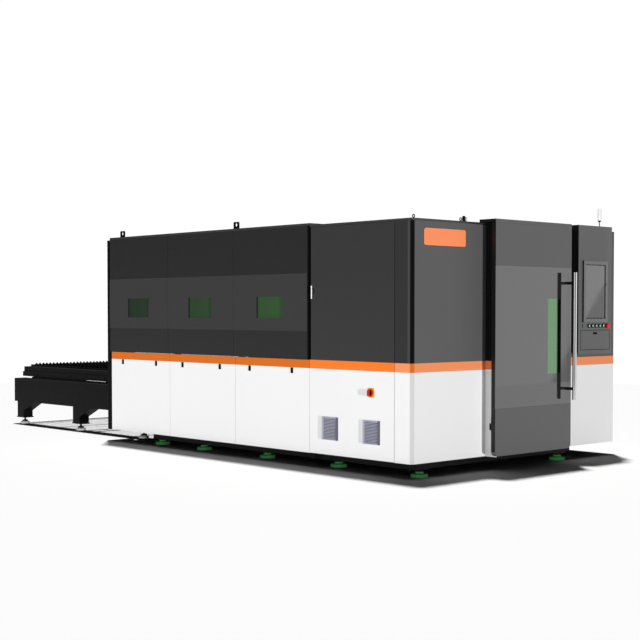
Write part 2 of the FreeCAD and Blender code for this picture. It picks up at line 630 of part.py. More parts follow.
def signal_tower():
    """Lamp on a short pole."""
    at = ("tower_x", "tower_y")
    pole = faceted("tower_stem", "z", at, "tower_pole", ("near_top", "tower_lamp_low"))
    lamp = faceted("tower_lamp_body", "z", at, "tower_lamp", ("tower_lamp_low", "tower_high"), "button_sides")
    return fuse("signal_tower", [pole, lamp])


# ---------------------------------------------------------------- front door
def door_portal():
    """Box frame that stands out from the front wall round the doorway, open towards the inside."""
    span = ("0 - portal_depth", "0")
    outer = block("portal_outer", ("portal_left", "portal_right"), span, ("skirt_z", "portal_top"))
    way = block("portal_way", ("portal_left + portal_jamb", "portal_right - portal_jamb"),
                ("0 - portal_depth - 1", "1"), ("skirt_z + portal_sill", "portal_top - portal_lintel"))
    bays = []
    deep = ("sheet - portal_depth", "1")
    full = ("skirt_z + sheet", "portal_top - sheet")
    bays.append(block("bay_left", ("portal_left + sheet", "portal_left + portal_jamb - sheet"), deep, full))
    bays.append(block("bay_right", ("portal_right - portal_jamb + sheet", "portal_right - sheet"), deep,
                      full))
    bays.append(block("bay_top", ("portal_left + sheet", "portal_right - sheet"), deep,
                      ("portal_top - portal_lintel + sheet", "portal_top - sheet")))
    bays.append(block("bay_sill", ("portal_left + sheet", "portal_right - sheet"), deep,
                      ("skirt_z + sheet", "skirt_z + portal_sill - sheet")))
    return cut("door_portal", outer, [fuse("portal_cuts", [way] + bays)])


def door_hood():
    """Folded cover strip above the front door."""
    return tray("door_hood", ("hood_left", "slab_right"), ("slab_front", "0"), ("hood_low", "hood_top"), "-z")


def door_slab():
    """Folded door leaf with rounded lower corners, a window opening and a recess for the glossy face."""
    blank = block("slab_blank", ("slab_left", "slab_right"), ("slab_front", "slab_back"),
                  ("slab_low", "slab_top"))
    low_edge = number("slab_low") + 1
    leaf = rounded("slab_round", blank, "slab_radius",
                   lambda edge: level_in_y(edge) and edge.BoundBox.ZMax < low_edge)
    hollow = block("slab_hollow", ("slab_left + slab_skin", "slab_right - slab_skin"),
                   ("slab_front + 2 * slab_skin", "slab_back - slab_skin"),
                   ("slab_low + slab_radius", "slab_top - slab_skin"))
    surround = block("slab_surround", ("door_pane_left - door_pane_rim", "door_pane_right + door_pane_rim"),
                     ("slab_front + slab_skin", "slab_back"),
                     ("door_pane_low - door_pane_rim", "door_pane_high + door_pane_rim"))
    recess = block("slab_recess", ("slab_left - 1", "slab_right + 1"),
                   ("slab_front - 1", "slab_front + slab_skin"),
                   ("gloss_low", "gloss_high"))
    window = block("slab_window", ("door_pane_left", "door_pane_right"), ("slab_front - 1", "slab_back + 1"),
                   ("door_pane_low", "door_pane_high"))
    shell = cut("slab_shell", leaf, [hollow])
    framed = fuse("slab_framed", [shell, surround])
    return cut("door_slab", framed, [fuse("slab_cuts", [recess, window])])


def door_gloss_panel():
    """Glossy face plate of the door's middle, level with the leaf above and below it."""
    plate = block("gloss_plate", ("slab_left", "slab_right"), ("slab_front", "slab_front + slab_skin"),
                  ("gloss_low + 1", "gloss_high - 1"))
    window = block("gloss_window", ("door_pane_left", "door_pane_right"),
                   ("slab_front - 1", "slab_front + slab_skin + 1"),
                   ("door_pane_low", "door_pane_high"))
    return cut("door_gloss_panel", plate, [window])


def door_window():
    """Green laser-safe window of the front door."""
    return block("door_window", ("door_pane_left", "door_pane_right"),
                 ("slab_front + slab_skin / 2", "slab_front + slab_skin / 2 + door_pane_thick"),
                 ("door_pane_low", "door_pane_high"))


def door_handle():
    """Long round pull handle with closed ends."""
    return rod("door_handle", "z", ("handle_x", "handle_y"), "handle_radius", ("handle_low", "handle_high"))


def handle_standoffs():
    """Two square spacers that hold the pull handle off the door, each cut to the bar's curve."""
    posts = []
    for z in ("standoff_low", "standoff_high"):
        post = block("post_" + z, ("handle_x - standoff_half", "handle_x + standoff_half"),
                     ("handle_y", "slab_front"),
                     ("%s - standoff_half" % z, "%s + standoff_half" % z))
        bar = rod("post_saddle_" + z, "z", ("handle_x", "handle_y"), "handle_radius",
                  ("%s - 2 * standoff_half" % z, "%s + 2 * standoff_half" % z))
        posts.append(cut("standoff_" + z, post, [bar]))
    return group("handle_standoffs", posts)


def door_hinges():
    """Lift-off hinges: a fixed knuckle with an upright pin, and a bored knuckle on the door over it."""
    brackets = []
    leaves = []
    line = ("hinge_x", "hinge_y")
    for n in range(int(number("hinge_count"))):
        middle = "(hinge_low + hinge_pitch * %d)" % n
        under = ("%s - hinge_knuckle" % middle, middle)
        over = ("%s + hinge_gap" % middle, "%s + hinge_knuckle" % middle)
        brackets.append(fuse("hinge_bracket_%d" % n, [
            faceted("knuckle_fixed_%d" % n, "z", line, "hinge_barrel", under, "button_sides"),
            rod("hinge_pin_%d" % n, "z", line, "hinge_pin", (middle, "%s - hinge_gap" % over[1])),
            block("hinge_arm_%d" % n, ("hinge_x", "portal_left - hinge_plate"),
                  ("hinge_y - hinge_plate / 2", "hinge_y + hinge_plate / 2"), under),
            block("hinge_plate_%d" % n, ("portal_left - hinge_plate", "portal_left"),
                  ("hinge_y - hinge_plate", "hinge_y + 8 * hinge_plate"), under)]))
        blank = fuse("leaf_blank_%d" % n, [
            faceted("knuckle_door_%d" % n, "z", line, "hinge_barrel", over, "button_sides"),
            block("hinge_tab_%d" % n, ("hinge_x - hinge_barrel", "hinge_x + hinge_barrel"),
                  ("slab_back", "hinge_y"), over)])
        bore = rod("hinge_bore_%d" % n, "z", line, "hinge_pin + hinge_running", over)
        leaves.append(cut("hinge_leaf_%d" % n, blank, [bore]))
    keep(group("door_hinge_brackets", brackets))
    keep(group("door_hinge_leaves", leaves))


# ---------------------------------------------------------------- cabinet door on the left wall
def cabinet_door():
    """Folded door leaf, narrower above the stripe, with pivot pins, vent openings and a lock hole."""
    top = "near_top - roof_drop - gap"
    low = "skirt_z + gap"
    corners = [("cabinet_start", low), ("near_depth - gap", low), ("near_depth - gap", "stripe_top"),
               ("near_upper_depth", "stripe_top"), ("near_upper_depth", top), ("cabinet_start", top)]
    inner = [("cabinet_start + sheet", "%s + sheet" % low), ("near_depth - gap - sheet", "%s + sheet" % low),
             ("near_depth - gap - sheet", "stripe_top - sheet"),
             ("near_upper_depth - sheet", "stripe_top - sheet"),
             ("near_upper_depth - sheet", "%s - sheet" % top), ("cabinet_start + sheet", "%s - sheet" % top)]
    leaf = profile("cabinet_leaf", "YZ_Plane", corners, ("0", "leaf_depth"))
    hollow = profile("cabinet_hollow", "YZ_Plane", inner, ("sheet", "leaf_depth + 1"))
    openings = [block("vent_cut_" + y, ("0 - 1", "sheet + 1"),
                      ("%s + vent_rim" % y, "%s + vent_width - vent_rim" % y),
                      ("vent_low + vent_rim", "vent_high - vent_rim")) for y in ("vent_near", "vent_far")]
    openings.append(rod("isolator_bore", "x", ("isolator_y", "isolator_z"), "isolator_shaft + pivot_clear",
                        ("0 - 1", "leaf_depth + 1")))
    openings.append(rod("lock_bore", "x", ("lock_y", "lock_z"), "lock_shaft + pivot_clear",
                        ("0 - 1", "leaf_depth + 1")))
    shell = cut("cabinet_shell", leaf, [hollow])
    blocks = []
    for name, z in (("low", (low, "%s + leaf_depth" % low)), ("top", ("%s - leaf_depth" % top, top))):
        blocks.append(block("pivot_block_" + name, ("sheet", "pivot_x * 2 + sheet"),
                            ("cabinet_start + sheet", "pivot_y + pivot_x"), z))
    pins = [rod("pivot_pin_low", "z", ("pivot_x", "pivot_y"), "pivot_radius",
                ("%s - pivot_plate" % low, "%s + 1" % low)),
            rod("pivot_pin_top", "z", ("pivot_x", "pivot_y"), "pivot_radius",
                ("%s - 1" % top, "%s + pivot_plate" % top))]
    return cut("cabinet_door", fuse("cabinet_blank", [shell] + blocks + pins),
               [fuse("cabinet_cuts", openings)])


def cabinet_pivots():
    """Plates below and above the cabinet door that hold its pivot pins."""
    plates = []
    top = "near_top - roof_drop"
    for name, z, reach in (("low", ("skirt_z - pivot_plate", "skirt_z"), "bed_left - sill_width / 2"),
                           ("top", (top, "%s + pivot_plate" % top), "fold + tube")):
        plate = block("pivot_plate_" + name, ("sheet + rail_clear", reach),
                      ("cabinet_edge", "pivot_y + pivot_reach"), z)
        hole = rod("pivot_hole_" + name, "z", ("pivot_x", "pivot_y"), "pivot_radius + pivot_clear",
                   ("%s - 1" % z[0], "%s + 1" % z[1]))
        plates.append(cut("pivot_bracket_" + name, plate, [hole]))
    return group("cabinet_pivots", plates)


def cabinet_vents():
    """Two louvred vents, each a rim with slanted blades, and the round rosette of the lock."""
    vents = []
    for y in ("vent_near", "vent_far"):
        rim = block("vent_rim_" + y, ("0 - vent_thick", "0"), (y, "%s + vent_width" % y),
                    ("vent_low", "vent_high"))
        way = block("vent_way_" + y, ("0 - vent_thick - 1", "1"),
                    ("%s + vent_rim" % y, "%s + vent_width - vent_rim" % y),
                    ("vent_low + vent_rim", "vent_high - vent_rim"))
        pieces = [cut("vent_frame_" + y, rim, [way])]
        for n in range(int(number("louvre_count"))):
            step = "(vent_high - vent_low - 2 * vent_rim) / louvre_count"
            base = "vent_low + vent_rim + %s * %s" % (step, n + 0.25)
            blade = [("0", "%s + louvre_depth / 2" % base),
                     ("0", "%s + louvre_depth / 2 + louvre_thick" % base),
                     ("0 - vent_thick", "%s + louvre_thick" % base), ("0 - vent_thick", base)]
            pieces.append(profile("blade_%s_%d" % (y, n), "XZ_Plane", blade,
                                  ("%s + vent_rim" % y, "%s + vent_width - vent_rim" % y)))
        vents.append(fuse("vent_" + y, pieces))
    rosette = rod("rosette_disc", "x", ("lock_y", "lock_z"), "rosette_radius", ("0 - rosette_thick", "0"))
    bore = rod("rosette_bore", "x", ("lock_y", "lock_z"), "lock_shaft + pivot_clear",
               ("0 - rosette_thick - 1", "1"))
    return group("cabinet_vents", vents + [cut("lock_rosette", rosette, [bore])])


def isolator():
    """Yellow isolator plate with a round collar, and its red turning knob with a shaft through the door."""
    half = "isolator_size / 2"
    plate = block("isolator_blank", ("0 - isolator_plate", "0"),
                  ("isolator_y - %s" % half, "isolator_y + %s" % half),
                  ("isolator_z - %s" % half, "isolator_z + %s" % half))
    collar = faceted("isolator_ring", "x", ("isolator_y", "isolator_z"), "isolator_collar",
                     ("0 - isolator_plate", "0"),
                     "button_sides")
    bore = rod("isolator_plate_bore", "x", ("isolator_y", "isolator_z"), "isolator_shaft + pivot_clear",
               ("0 - isolator_plate - 1", "1"))
    keep(cut("isolator_plate", fuse("isolator_back", [plate, collar]), [bore]))
    face = "0 - isolator_plate - lever_gap"
    boss = faceted("isolator_boss", "x", ("isolator_y", "isolator_z"), "isolator_boss",
                   ("%s - isolator_rim" % face, face),
                   "button_sides")
    grip = block("isolator_grip", ("%s - isolator_grip" % face, face),
                 ("isolator_y - isolator_grip_width / 2", "isolator_y + isolator_grip_width / 2"),
                 ("isolator_z - isolator_grip_length / 2", "isolator_z + isolator_grip_length / 2"))
    shaft = rod("isolator_shaft", "x", ("isolator_y", "isolator_z"), "isolator_shaft",
                ("%s - 1" % face, "leaf_depth"))
    return fuse("isolator_knob", [boss, grip, shaft])


def lock():
    """White lever whose shaft goes through the rosette and the door to a cam behind the leaf."""
    face = "0 - rosette_thick - lever_gap"
    lever = block("lever_bar", ("%s - lever_thick" % face, face),
                  ("lock_y - lever_width / 2", "lock_y + lever_width / 2"),
                  ("lock_z - lever_length / 2", "lock_z + lever_length / 2"))
    shaft = rod("lever_shaft", "x", ("lock_y", "lock_z"), "lock_shaft", ("%s - 1" % face, "leaf_depth"))
    cam = block("lever_cam", ("leaf_depth", "leaf_depth + cam_thick"),
                ("lock_y - cam_half", "lock_y + cam_half"),
                ("lock_z - cam_reach", "lock_z + cam_half"))
    return fuse("lock_lever", [lever, shaft, cam])


# ---------------------------------------------------------------- operator console
def console_box():
    """Folded console housing with rounded lower corners, a flap opening and holes for the push buttons."""
    front = "0 - console_depth"
    blank = block("console_blank", ("console_left", "console_right"), (front, "0"),
                  ("console_low", "console_top"))
    low_edge = number("console_low") + 1
    shell = rounded("console_round", blank, "console_radius",
                    lambda edge: level_in_y(edge) and edge.BoundBox.ZMax < low_edge)
    hollow = block("console_hollow", ("console_left + sheet", "console_right - sheet"),
                   ("%s + sheet" % front, "1"),
                   ("console_low + console_radius", "console_top - sheet"))
    flap = block("console_flap_cut", ("flap_left - gap", "flap_right + gap"),
                 ("%s - 1" % front, "%s + sheet + 1" % front),
                 ("flap_low - 2 * gap", "flap_high + gap"))
    cuts = [flap]
    through = ("%s - 1" % front, "%s + sheet + 1" % front)
    for n in range(int(number("button_count"))):
        x = "(button_x + button_pitch * %d)" % n
        cuts.append(plunger("button_hole_%d" % n, x, "(button_stem + button_clear)", through))
    cuts.append(plunger("stop_hole", "stop_x", "(stop_neck + button_clear)", through))
    axis = ("%s + flap_axis_in" % front, "flap_low + flap_axis_up")
    parts = [cut("console_shell", shell, [hollow])]
    for side, start in (("left", "flap_left - gap - flap_lug"), ("right", "flap_right + gap")):
        parts.append(block("flap_lug_" + side, (start, "%s + flap_lug" % start),
                           ("%s + sheet" % front, "%s + flap_lug" % front),
                           ("%s - flap_lug / 2" % axis[1], "%s + flap_lug / 2" % axis[1])))
        cuts.append(rod("flap_lug_hole_" + side, "x", axis, "flap_pin + pivot_clear",
                        (start, "%s + flap_lug + 1" % start)))
    return cut("console_box", fuse("console_lugged", parts), [fuse("console_cuts", cuts)])


def screen():
    """Raised screen frame and the glass set back in it."""
    front = "0 - console_depth"
    frame = block("bezel_blank", ("bezel_left", "bezel_right"), ("%s - bezel_thick" % front, front),
                  ("bezel_low", "bezel_high"))
    hole = block("bezel_hole", ("glass_left", "glass_right"),
                 ("%s - bezel_thick - 1" % front, "%s + 1" % front),
                 ("glass_low", "glass_high"))
    keep(cut("screen_bezel", frame, [hole]))
    return block("screen_glass", ("glass_left", "glass_right"), ("%s - glass_thick" % front, front),
                 ("glass_low", "glass_high"))


def keyboard_flap():
    """Fold-down flap with a pull slot near its top, hinge pins at its foot and the keyboard inside."""
    front = "0 - console_depth"
    back = "%s + flap_thick" % front
    leaf = block("flap_leaf", ("flap_left", "flap_right"), (front, back), ("flap_low", "flap_high"))
    slot = block("flap_slot", ("flap_slot_left", "flap_slot_right"), ("%s - 1" % front, "%s + 1" % back),
                 ("flap_slot_low", "flap_slot_high"))
    keys = block("flap_keys", ("flap_left + keys_margin", "flap_right - keys_margin"),
                 (back, "%s + keys_thick" % back),
                 ("flap_low + keys_margin", "flap_slot_low - flap_thick"))
    pin = rod("flap_pin_rod", "x", ("%s + flap_axis_in" % front, "flap_low + flap_axis_up"), "flap_pin",
              ("flap_left - gap - flap_lug", "flap_right + gap + flap_lug"))
    return fuse("keyboard_flap", [cut("flap_plate", leaf, [slot]), keys, pin])


def plunger(label, x, half, span):
    """Square stem of a button, or with a wider half the hole that it runs in."""
    return block(label, ("%s - %s" % (x, half), "%s + %s" % (x, half)), span,
                 ("button_z - %s" % half, "button_z + %s" % half))


def push_buttons():
    """Five push buttons and the mushroom emergency stop, each with a square stem through the console's face."""
    front = "0 - console_depth"
    stem = ("%s - button_travel - gap / 2" % front, "%s + button_stem_length" % front)
    for n in range(int(number("button_count"))):
        x = "(button_x + button_pitch * %d)" % n
        cap = faceted("button_cap_%d" % n, "y", (x, "button_z"), "button_radius",
                      ("%s - button_proud" % front, stem[0]), "button_sides")
        keep(fuse("button_%d" % (n + 1), [cap, plunger("button_stem_%d" % n, x, "button_stem", stem)]))
    stem = ("%s - stop_travel - stop_under" % front, "%s + button_stem_length" % front)
    mushroom = faceted("stop_cap", "y", ("stop_x", "button_z"), "stop_radius",
                       ("%s - stop_proud" % front, stem[0]),
                       "button_sides")
    keep(fuse("emergency_stop", [mushroom, plunger("stop_stem", "stop_x", "stop_neck", stem)]))


# ---------------------------------------------------------------- pallets
def pallet(name, start, lift):
    """A pallet at one level: stepped side beams with slat combs, cross beams, toothed slats and wheels."""
    end = "%s + pallet_length" % start
    side = [("side_outer", "side_low"), ("side_outer", "side_mid"), ("side_step", "side_mid"),
            ("side_step", "side_high"),
            ("side_inner", "side_high"), ("side_inner", "comb_top"), ("comb", "comb_top"),
            ("comb", "comb_low"),
            ("side_inner", "comb_low"), ("side_inner", "side_low"), ("side_inner - side_wall", "side_low"),
            ("side_inner - side_wall", "side_high - side_wall"),
            ("side_step + side_wall", "side_high - side_wall"),
            ("side_step + side_wall", "side_low")]
    parts = [profile(name + "_side_left", "XZ_Plane", side, (start, end), lift=lift),
             profile(name + "_side_right", "XZ_Plane", mirrored(side), (start, end), lift=lift)]
    bays = int(number("pallet_bays"))
    ties = [start,
            "%s - pallet_cross" % end] + ["%s + pallet_length * %d / pallet_bays" % (start,
                                                                                     n) for n in range(1,
                                                                                     bays)]
    for n, y in enumerate(ties):
        parts.append(block("%s_tie_%d" % (name, n), ("side_inner", "2 * table_middle - side_inner"),
                           (y, "%s + pallet_cross" % y), ("side_low + %s" % lift, "comb_low + %s" % lift)))
    keep(fuse(name + "_frame", parts))

    count = int(number("tooth_count"))
    left = "comb"
    right = "(2 * table_middle - comb)"
    pitch = "(%s - %s) / tooth_count" % (right, left)
    teeth = [(left, "slat_low"), (right, "slat_low")]
    for n in range(count):
        teeth.append(("%s - %s * %d" % (right, pitch, n), "slat_valley"))
        teeth.append(("%s - %s * %s" % (right, pitch, n + 0.5), "slat_high"))
    teeth.append((left, "slat_valley"))
    step = "(pallet_length - 2 * slat_margin - slat_thick) / (slat_count - 1)"
    first = "%s + slat_margin" % start
    slats = profile(name + "_slats", "XZ_Plane", teeth, (first, "%s + slat_thick" % first), lift=lift)
    slats.AllowCompound = True
    doc.recompute()
    row = slats.newObject("PartDesign::LinearPattern", name + "_slat_row")
    row.Originals = [slats.Group[0]]
    row.Direction = (plane_of(slats, "Y_Axis"), [""])
    bind(row, "Length", "%s * (slat_count - 1)" % step)
    bind(row, "Occurrences", "slat_count")
    slats.Tip = row
    keep(slats)

    wheels = []
    axle = "track_top + wheel_radius + %s" % lift
    web = "(side_step + side_wall)"
    for n in range(int(number("wheel_count"))):
        y = "%s + wheel_start + wheel_pitch * %d" % (start, n)
        for side_name, x in (("left", web), ("right", "2 * table_middle - %s - wheel_width" % web)):
            wheels.append(faceted("%s_wheel_%s_%d" % (name, side_name, n), "x", (y, axle), "wheel_radius",
                                  (x, "%s + wheel_width" % x)))
    keep(group(name + "_wheels", wheels))


# ---------------------------------------------------------------- gantry
def gantry():
    """Hollow beam on two end trucks, its guide rails and the drive motors."""
    back = "gantry_y + gantry_depth"
    section = [("gantry_y", "gantry_low"), (back, "gantry_low"), (back, "gantry_high - beam_chamfer"),
               ("%s - beam_chamfer" % back, "gantry_high"),
               ("gantry_y + beam_chamfer", "gantry_high"), ("gantry_y", "gantry_high - beam_chamfer")]
    core = [("gantry_y + gantry_skin", "gantry_low + gantry_skin"),
            ("%s - gantry_skin" % back, "gantry_low + gantry_skin"),
            ("%s - gantry_skin" % back, "gantry_high - beam_core"),
            ("%s - beam_core" % back, "gantry_high - gantry_skin"),
            ("gantry_y + beam_core", "gantry_high - gantry_skin"),
            ("gantry_y + gantry_skin", "gantry_high - beam_core")]
    beam = profile("beam_tube", "YZ_Plane", section,
                   ("bed_left - beam_overhang", "bed_right + beam_overhang"), holes=(core,))
    trucks = []
    for side in ("bed_left", "bed_right"):
        truck = block("truck_" + side, ("%s - truck_width / 2" % side, "%s + truck_width / 2" % side),
                      ("gantry_y - truck_lead", "gantry_y - truck_lead + truck_depth"),
                      ("beam_top + rail_height / 2", "gantry_low"))
        groove = block("truck_groove_" + side,
                       ("%s - rail_width / 2 - rail_clear" % side, "%s + rail_width / 2 + rail_clear" % side),
                       ("gantry_y - 2 * truck_lead", "gantry_y + truck_depth"),
                       ("beam_top", "beam_top + rail_height + rail_clear"))
        trucks.append(cut("truck_cut_" + side, truck, [groove]))
    keep(fuse("gantry_beam", [beam] + trucks))

    motors = []
    for side, x in (("left", "bed_left - beam_overhang"),
                    ("right", "bed_right + beam_overhang - motor_size")):
        motors.append(block("motor_" + side, (x, "%s + motor_size" % x),
                            ("gantry_y + motor_in", "gantry_y + motor_in + motor_size"),
                            ("gantry_high", "gantry_high + motor_height")))
    keep(group("gantry_motors", motors))

    rails = []
    for name, z in (("low", "beam_rail_low"), ("high", "beam_rail_high")):
        rails.append(block("beam_rail_" + name, ("bed_left + beam_rail_in", "bed_right - beam_rail_in"),
                           (back, "%s + beam_rail_thick" % back), (z, "%s + beam_rail_height" % z)))
    keep(group("beam_rails", rails))


def x_carriage():
    """Carriage plate with its guide blocks and the upright drive box."""
    face = "gantry_y + gantry_depth + beam_rail_thick + cutter_clear"
    low = "table_middle - carriage_half"
    high = "table_middle + carriage_half"
    plate = block("carriage_plate", (low, high), (face, "%s + carriage_thick" % face),
                  ("carriage_low", "carriage_high"))
    box = block("z_box", ("table_middle - z_box_half", "table_middle + z_box_half"),
                ("%s + carriage_thick" % face, "head_y - head_half"), ("z_box_low", "z_box_high"))
    guides = []
    for name, z in (("low", "beam_rail_low"), ("high", "beam_rail_high")):
        shoe = block("shoe_" + name, (low, high), ("gantry_y + gantry_depth + shoe_clear", face),
                     ("%s - shoe_lip" % z, "%s + beam_rail_height + shoe_lip" % z))
        way = block("shoe_way_" + name, ("%s - 1" % low, "%s + 1" % high), ("gantry_y + gantry_depth", face),
                    ("%s - rail_clear" % z, "%s + beam_rail_height + rail_clear" % z))
        guides.append(cut("shoe_cut_" + name, shoe, [way]))
    return fuse("x_carriage", [plate, box] + guides)


def cutting_head():
    """Cutting head: slide block, boxed housing, and the collar and nozzle under it."""
    half = "head_radius"
    housing = block("head_housing", ("table_middle - %s" % half, "table_middle + %s" % half),
                    ("head_y", "head_y + %s" % half), ("head_low", "head_high"))
    slide = block("head_slide", ("table_middle - head_half", "table_middle + head_half"),
                  ("head_y - head_half + cutter_clear", "head_y"), ("z_box_low", "head_high"))
    at = ("table_middle", "head_y + head_radius / 2")
    collar = faceted("head_collar", "z", at, "head_radius / 2", ("nozzle_top", "head_low"))
    nozzle = faceted("head_nozzle", "z", at, "nozzle_radius", ("nozzle_tip", "nozzle_top"))
    return fuse("cutting_head", [housing, slide, collar, nozzle])


# ---------------------------------------------------------------- the machine
keep(bed_frame())
levelling_feet()
keep(gantry_rails())
keep(group("pallet_tracks", tracks("inner_track", ("track_front", "table_front - gap"))))
keep(exchange_table())
keep(table_feet())
keep(enclosure_frame())
keep(front_left_panel())
keep(front_right_panel())
lower = ("skirt_z", "stripe_top - seam / 2")
upper = ("stripe_top + seam / 2", "rear_top - roof_drop")
keep(panel_row("left_access_panels", "near_depth", "lower_end", ("0", "fold"), lower, "+x"))
keep(panel_row("left_upper_panels", "upper_start", "upper_end", ("0", "fold"), upper, "+x", openings=True))
right_side = ("width - fold", "width")
keep(group("right_side_panels", [panel_row("right_lower", "near_depth", "lower_end", right_side, lower, "-x"),
                                 panel_row("right_upper", "near_depth", "upper_end", right_side, upper,
                                           "-x")]))
keep(window_band())
keep(window_panes())
keep(panel_clips())
keep(rear_portal())
keep(roof_panels())
keep(partition_wall())
keep(laser_source())
keep(lifting_lugs())
keep(ring_eyes())
keep(signal_tower())
keep(door_portal())
keep(door_hood())
keep(door_slab())
keep(door_gloss_panel())
keep(door_window())
keep(door_handle())
keep(handle_standoffs())
door_hinges()
keep(cabinet_door())
keep(cabinet_pivots())
keep(cabinet_vents())
keep(isolator())
keep(lock())
keep(console_box())
keep(screen())
keep(keyboard_flap())
push_buttons()
pallet("outer_pallet", "outer_start", "0")
pallet("inner_pallet", "inner_start", "(0 - level_drop)")
gantry()
keep(x_carriage())
keep(cutting_head())

doc.recompute()

for item in doc.Objects:
    if "Invalid" in item.State or "Error" in item.State:
        raise RuntimeError("%s did not build: %s" % (item.Label, item.State))
os.makedirs("parts", exist_ok=True)
for node in nodes:
    if node.Shape.isNull() or not node.Shape.isValid():
        raise RuntimeError("%s has no valid shape" % node.Label)
    node.Shape.exportStep("parts/%s.step" % node.Label)
    print("%-22s %3d solids %10.1f cm3" % (node.Label, len(node.Shape.Solids), node.Shape.Volume / 1000))
print(len(nodes), "nodes")
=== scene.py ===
"""Looks of the enclosed laser cutting machine: paint, glass, metal and the small turned and pressed pieces.

All lengths are metres in the machine's own frame: x to the console side, y to the exchange table, z up.
"""
import math

import bpy
import numpy as np
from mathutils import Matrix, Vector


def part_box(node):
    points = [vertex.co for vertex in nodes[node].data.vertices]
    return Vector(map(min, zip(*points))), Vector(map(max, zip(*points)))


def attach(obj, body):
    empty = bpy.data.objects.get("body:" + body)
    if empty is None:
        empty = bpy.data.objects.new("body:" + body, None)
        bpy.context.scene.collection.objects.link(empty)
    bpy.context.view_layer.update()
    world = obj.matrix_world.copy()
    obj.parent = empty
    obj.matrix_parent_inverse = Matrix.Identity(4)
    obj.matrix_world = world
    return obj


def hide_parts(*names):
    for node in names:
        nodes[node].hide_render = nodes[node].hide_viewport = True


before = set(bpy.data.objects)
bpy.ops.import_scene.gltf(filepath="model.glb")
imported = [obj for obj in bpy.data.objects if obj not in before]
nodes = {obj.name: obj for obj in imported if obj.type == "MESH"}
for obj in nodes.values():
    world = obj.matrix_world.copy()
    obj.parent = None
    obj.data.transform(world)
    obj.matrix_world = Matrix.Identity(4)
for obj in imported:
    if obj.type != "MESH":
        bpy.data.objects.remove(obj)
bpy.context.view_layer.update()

# heights of the paint zones on the covers
WHITE_TOP = 0.893
STRIPE_TOP = 0.971
EDGE_LINE = 0.004

# walls of the enclosure and the flat chamfer between them
SIDE_WALLS = (-1.4285, 1.4715)
FRONT_WALL = -3.4465
CHAMFER = (0.033, 0.019)
FOLD_LINE = 3.398

# read from the photo: cable gland, plug beside it, bezel's right edge, ports, door pane's dark edge and rim
GLAND_X = -0.688
PLUG_X = -0.656
BEZEL_RIGHT = 1.2265
PORT_X = 0.8395
PORT_HEIGHTS = (1.262, 1.28)
# past the first of these the door pane is painted darker, past the second black: painted shade and the
# handle's dark reflection
PANE_SHADE_EDGE = 0.3125
PANE_REFLECTION_EDGE = 0.3245

# plates read from the photo: left, right, foot, top
BADGE = (-1.2805, -0.7475, 1.9665, 2.113)
# the end plate is a dark sheet standing in for shade seen through the table
END_SHADE_PLATE = (-0.84, 0.515, 0.5, 0.588)

# pull slot of the keyboard flap: middle, then height and width
SLOT = (1.0435, 1.199)
SLOT_SIZE = (0.0156, 0.0596)

# how far from their face the push buttons' caps and the stop's mushroom start; each is more than its travel
PUSH_ROOM = 0.0045
STOP_ROOM = 0.0085

# depths of the paint's orange peel, the metal's grain and the plastic's texture, and the thickness of a skin
PEEL_DEPTH = 0.0004
GRAIN_DEPTH = 0.0003
FINE_DEPTH = 0.0002
SKIN = 0.0005

# how glossy the covers are, and those of the front wall
COVER_SHEEN = 0.3
FRONT_SHEEN = 0.12

# colours, as linear light; the covers' paint has a tone for each side, as the photo shows it, with light and
# shade painted in
GREY = (0.030, 0.030, 0.0306)
# the rear and shaded tones are the grey, orange and white paint with painted shade; the fold and front tones
# with painted light
REAR_SHADE_GREY = (0.016, 0.016, 0.0165)
FOLD_LIT_GREY = (0.056, 0.056, 0.057)
FRONT_LIT_GREY = (0.104, 0.104, 0.105)
BLACK = (0.0035, 0.0035, 0.004)
WHITE = (0.83, 0.83, 0.835)
ORANGE = (0.89, 0.2, 0.022)
REAR_SHADE_ORANGE = (0.645, 0.143, 0.0115)
FRONT_LIT_ORANGE = (0.87, 0.287, 0.115)
SHADED_WHITE = (0.42, 0.42, 0.42)
SHADED_ORANGE = (0.4, 0.12, 0.045)
LINE_BLUE = (0.66, 0.8, 0.92)
# tones of the chamfer: painted shade, darker than the faces beside it and black above the stripe
CHAMFER_SHADE = {"Lower": (0.5, 0.5, 0.5), "Stripe": (0.5, 0.12, 0.02), "Upper": (0.001, 0.001, 0.001),
                 "Line": (0.4, 0.45, 0.5)}
TABLE_BLACK = (0.0045, 0.0045, 0.005)
STEEL = (0.52, 0.52, 0.53)
DARK_STEEL = (0.012, 0.012, 0.013)
PAD_GREEN = (0.016, 0.13, 0.03)
DUST = (0.24, 0.23, 0.21)
FLOOR_SEEN = (0.43, 0.43, 0.43)
FLOOR_BOUNCE = (0.125, 0.125, 0.125)

# suns: where each one shines, its power and its spread in degrees
SUNS = {"lamp_above": ((-0.16, -0.2, -1.0), 7.2, 4), "fill_left": ((1.0, 0.14, 0.0), 2.4, 2),
        "fill_front": ((0.3, 1.0, 0.0), 2.45, 2)}

# zones of the surround, in reflections only: direction, where it starts, how fast it rises, least and most
BRIGHT_WALL = ((0.707, -0.707, 0.0), 0.42, 3.0, 0.02, 1.03)
BRIGHT_SIDE = ((-1.0, 0.0, 0.0), 0.78, 9.0, 0.0, 0.75)
SLANT = (-0.5152, -0.7219, 0.462)
UNDER_SLANT = 0.6
WORLD_LIGHT = 0.03

# camera fitted to the photo: place, turns to the right and down in degrees, lens in mm and its upward shift
CAMERA_PLACE = (-9.2925, -10.8405, 1.408)
CAMERA_YAW = 42.7
CAMERA_DROP = 1.85
LENS = 72.57
LENS_SHIFT = 0.0517


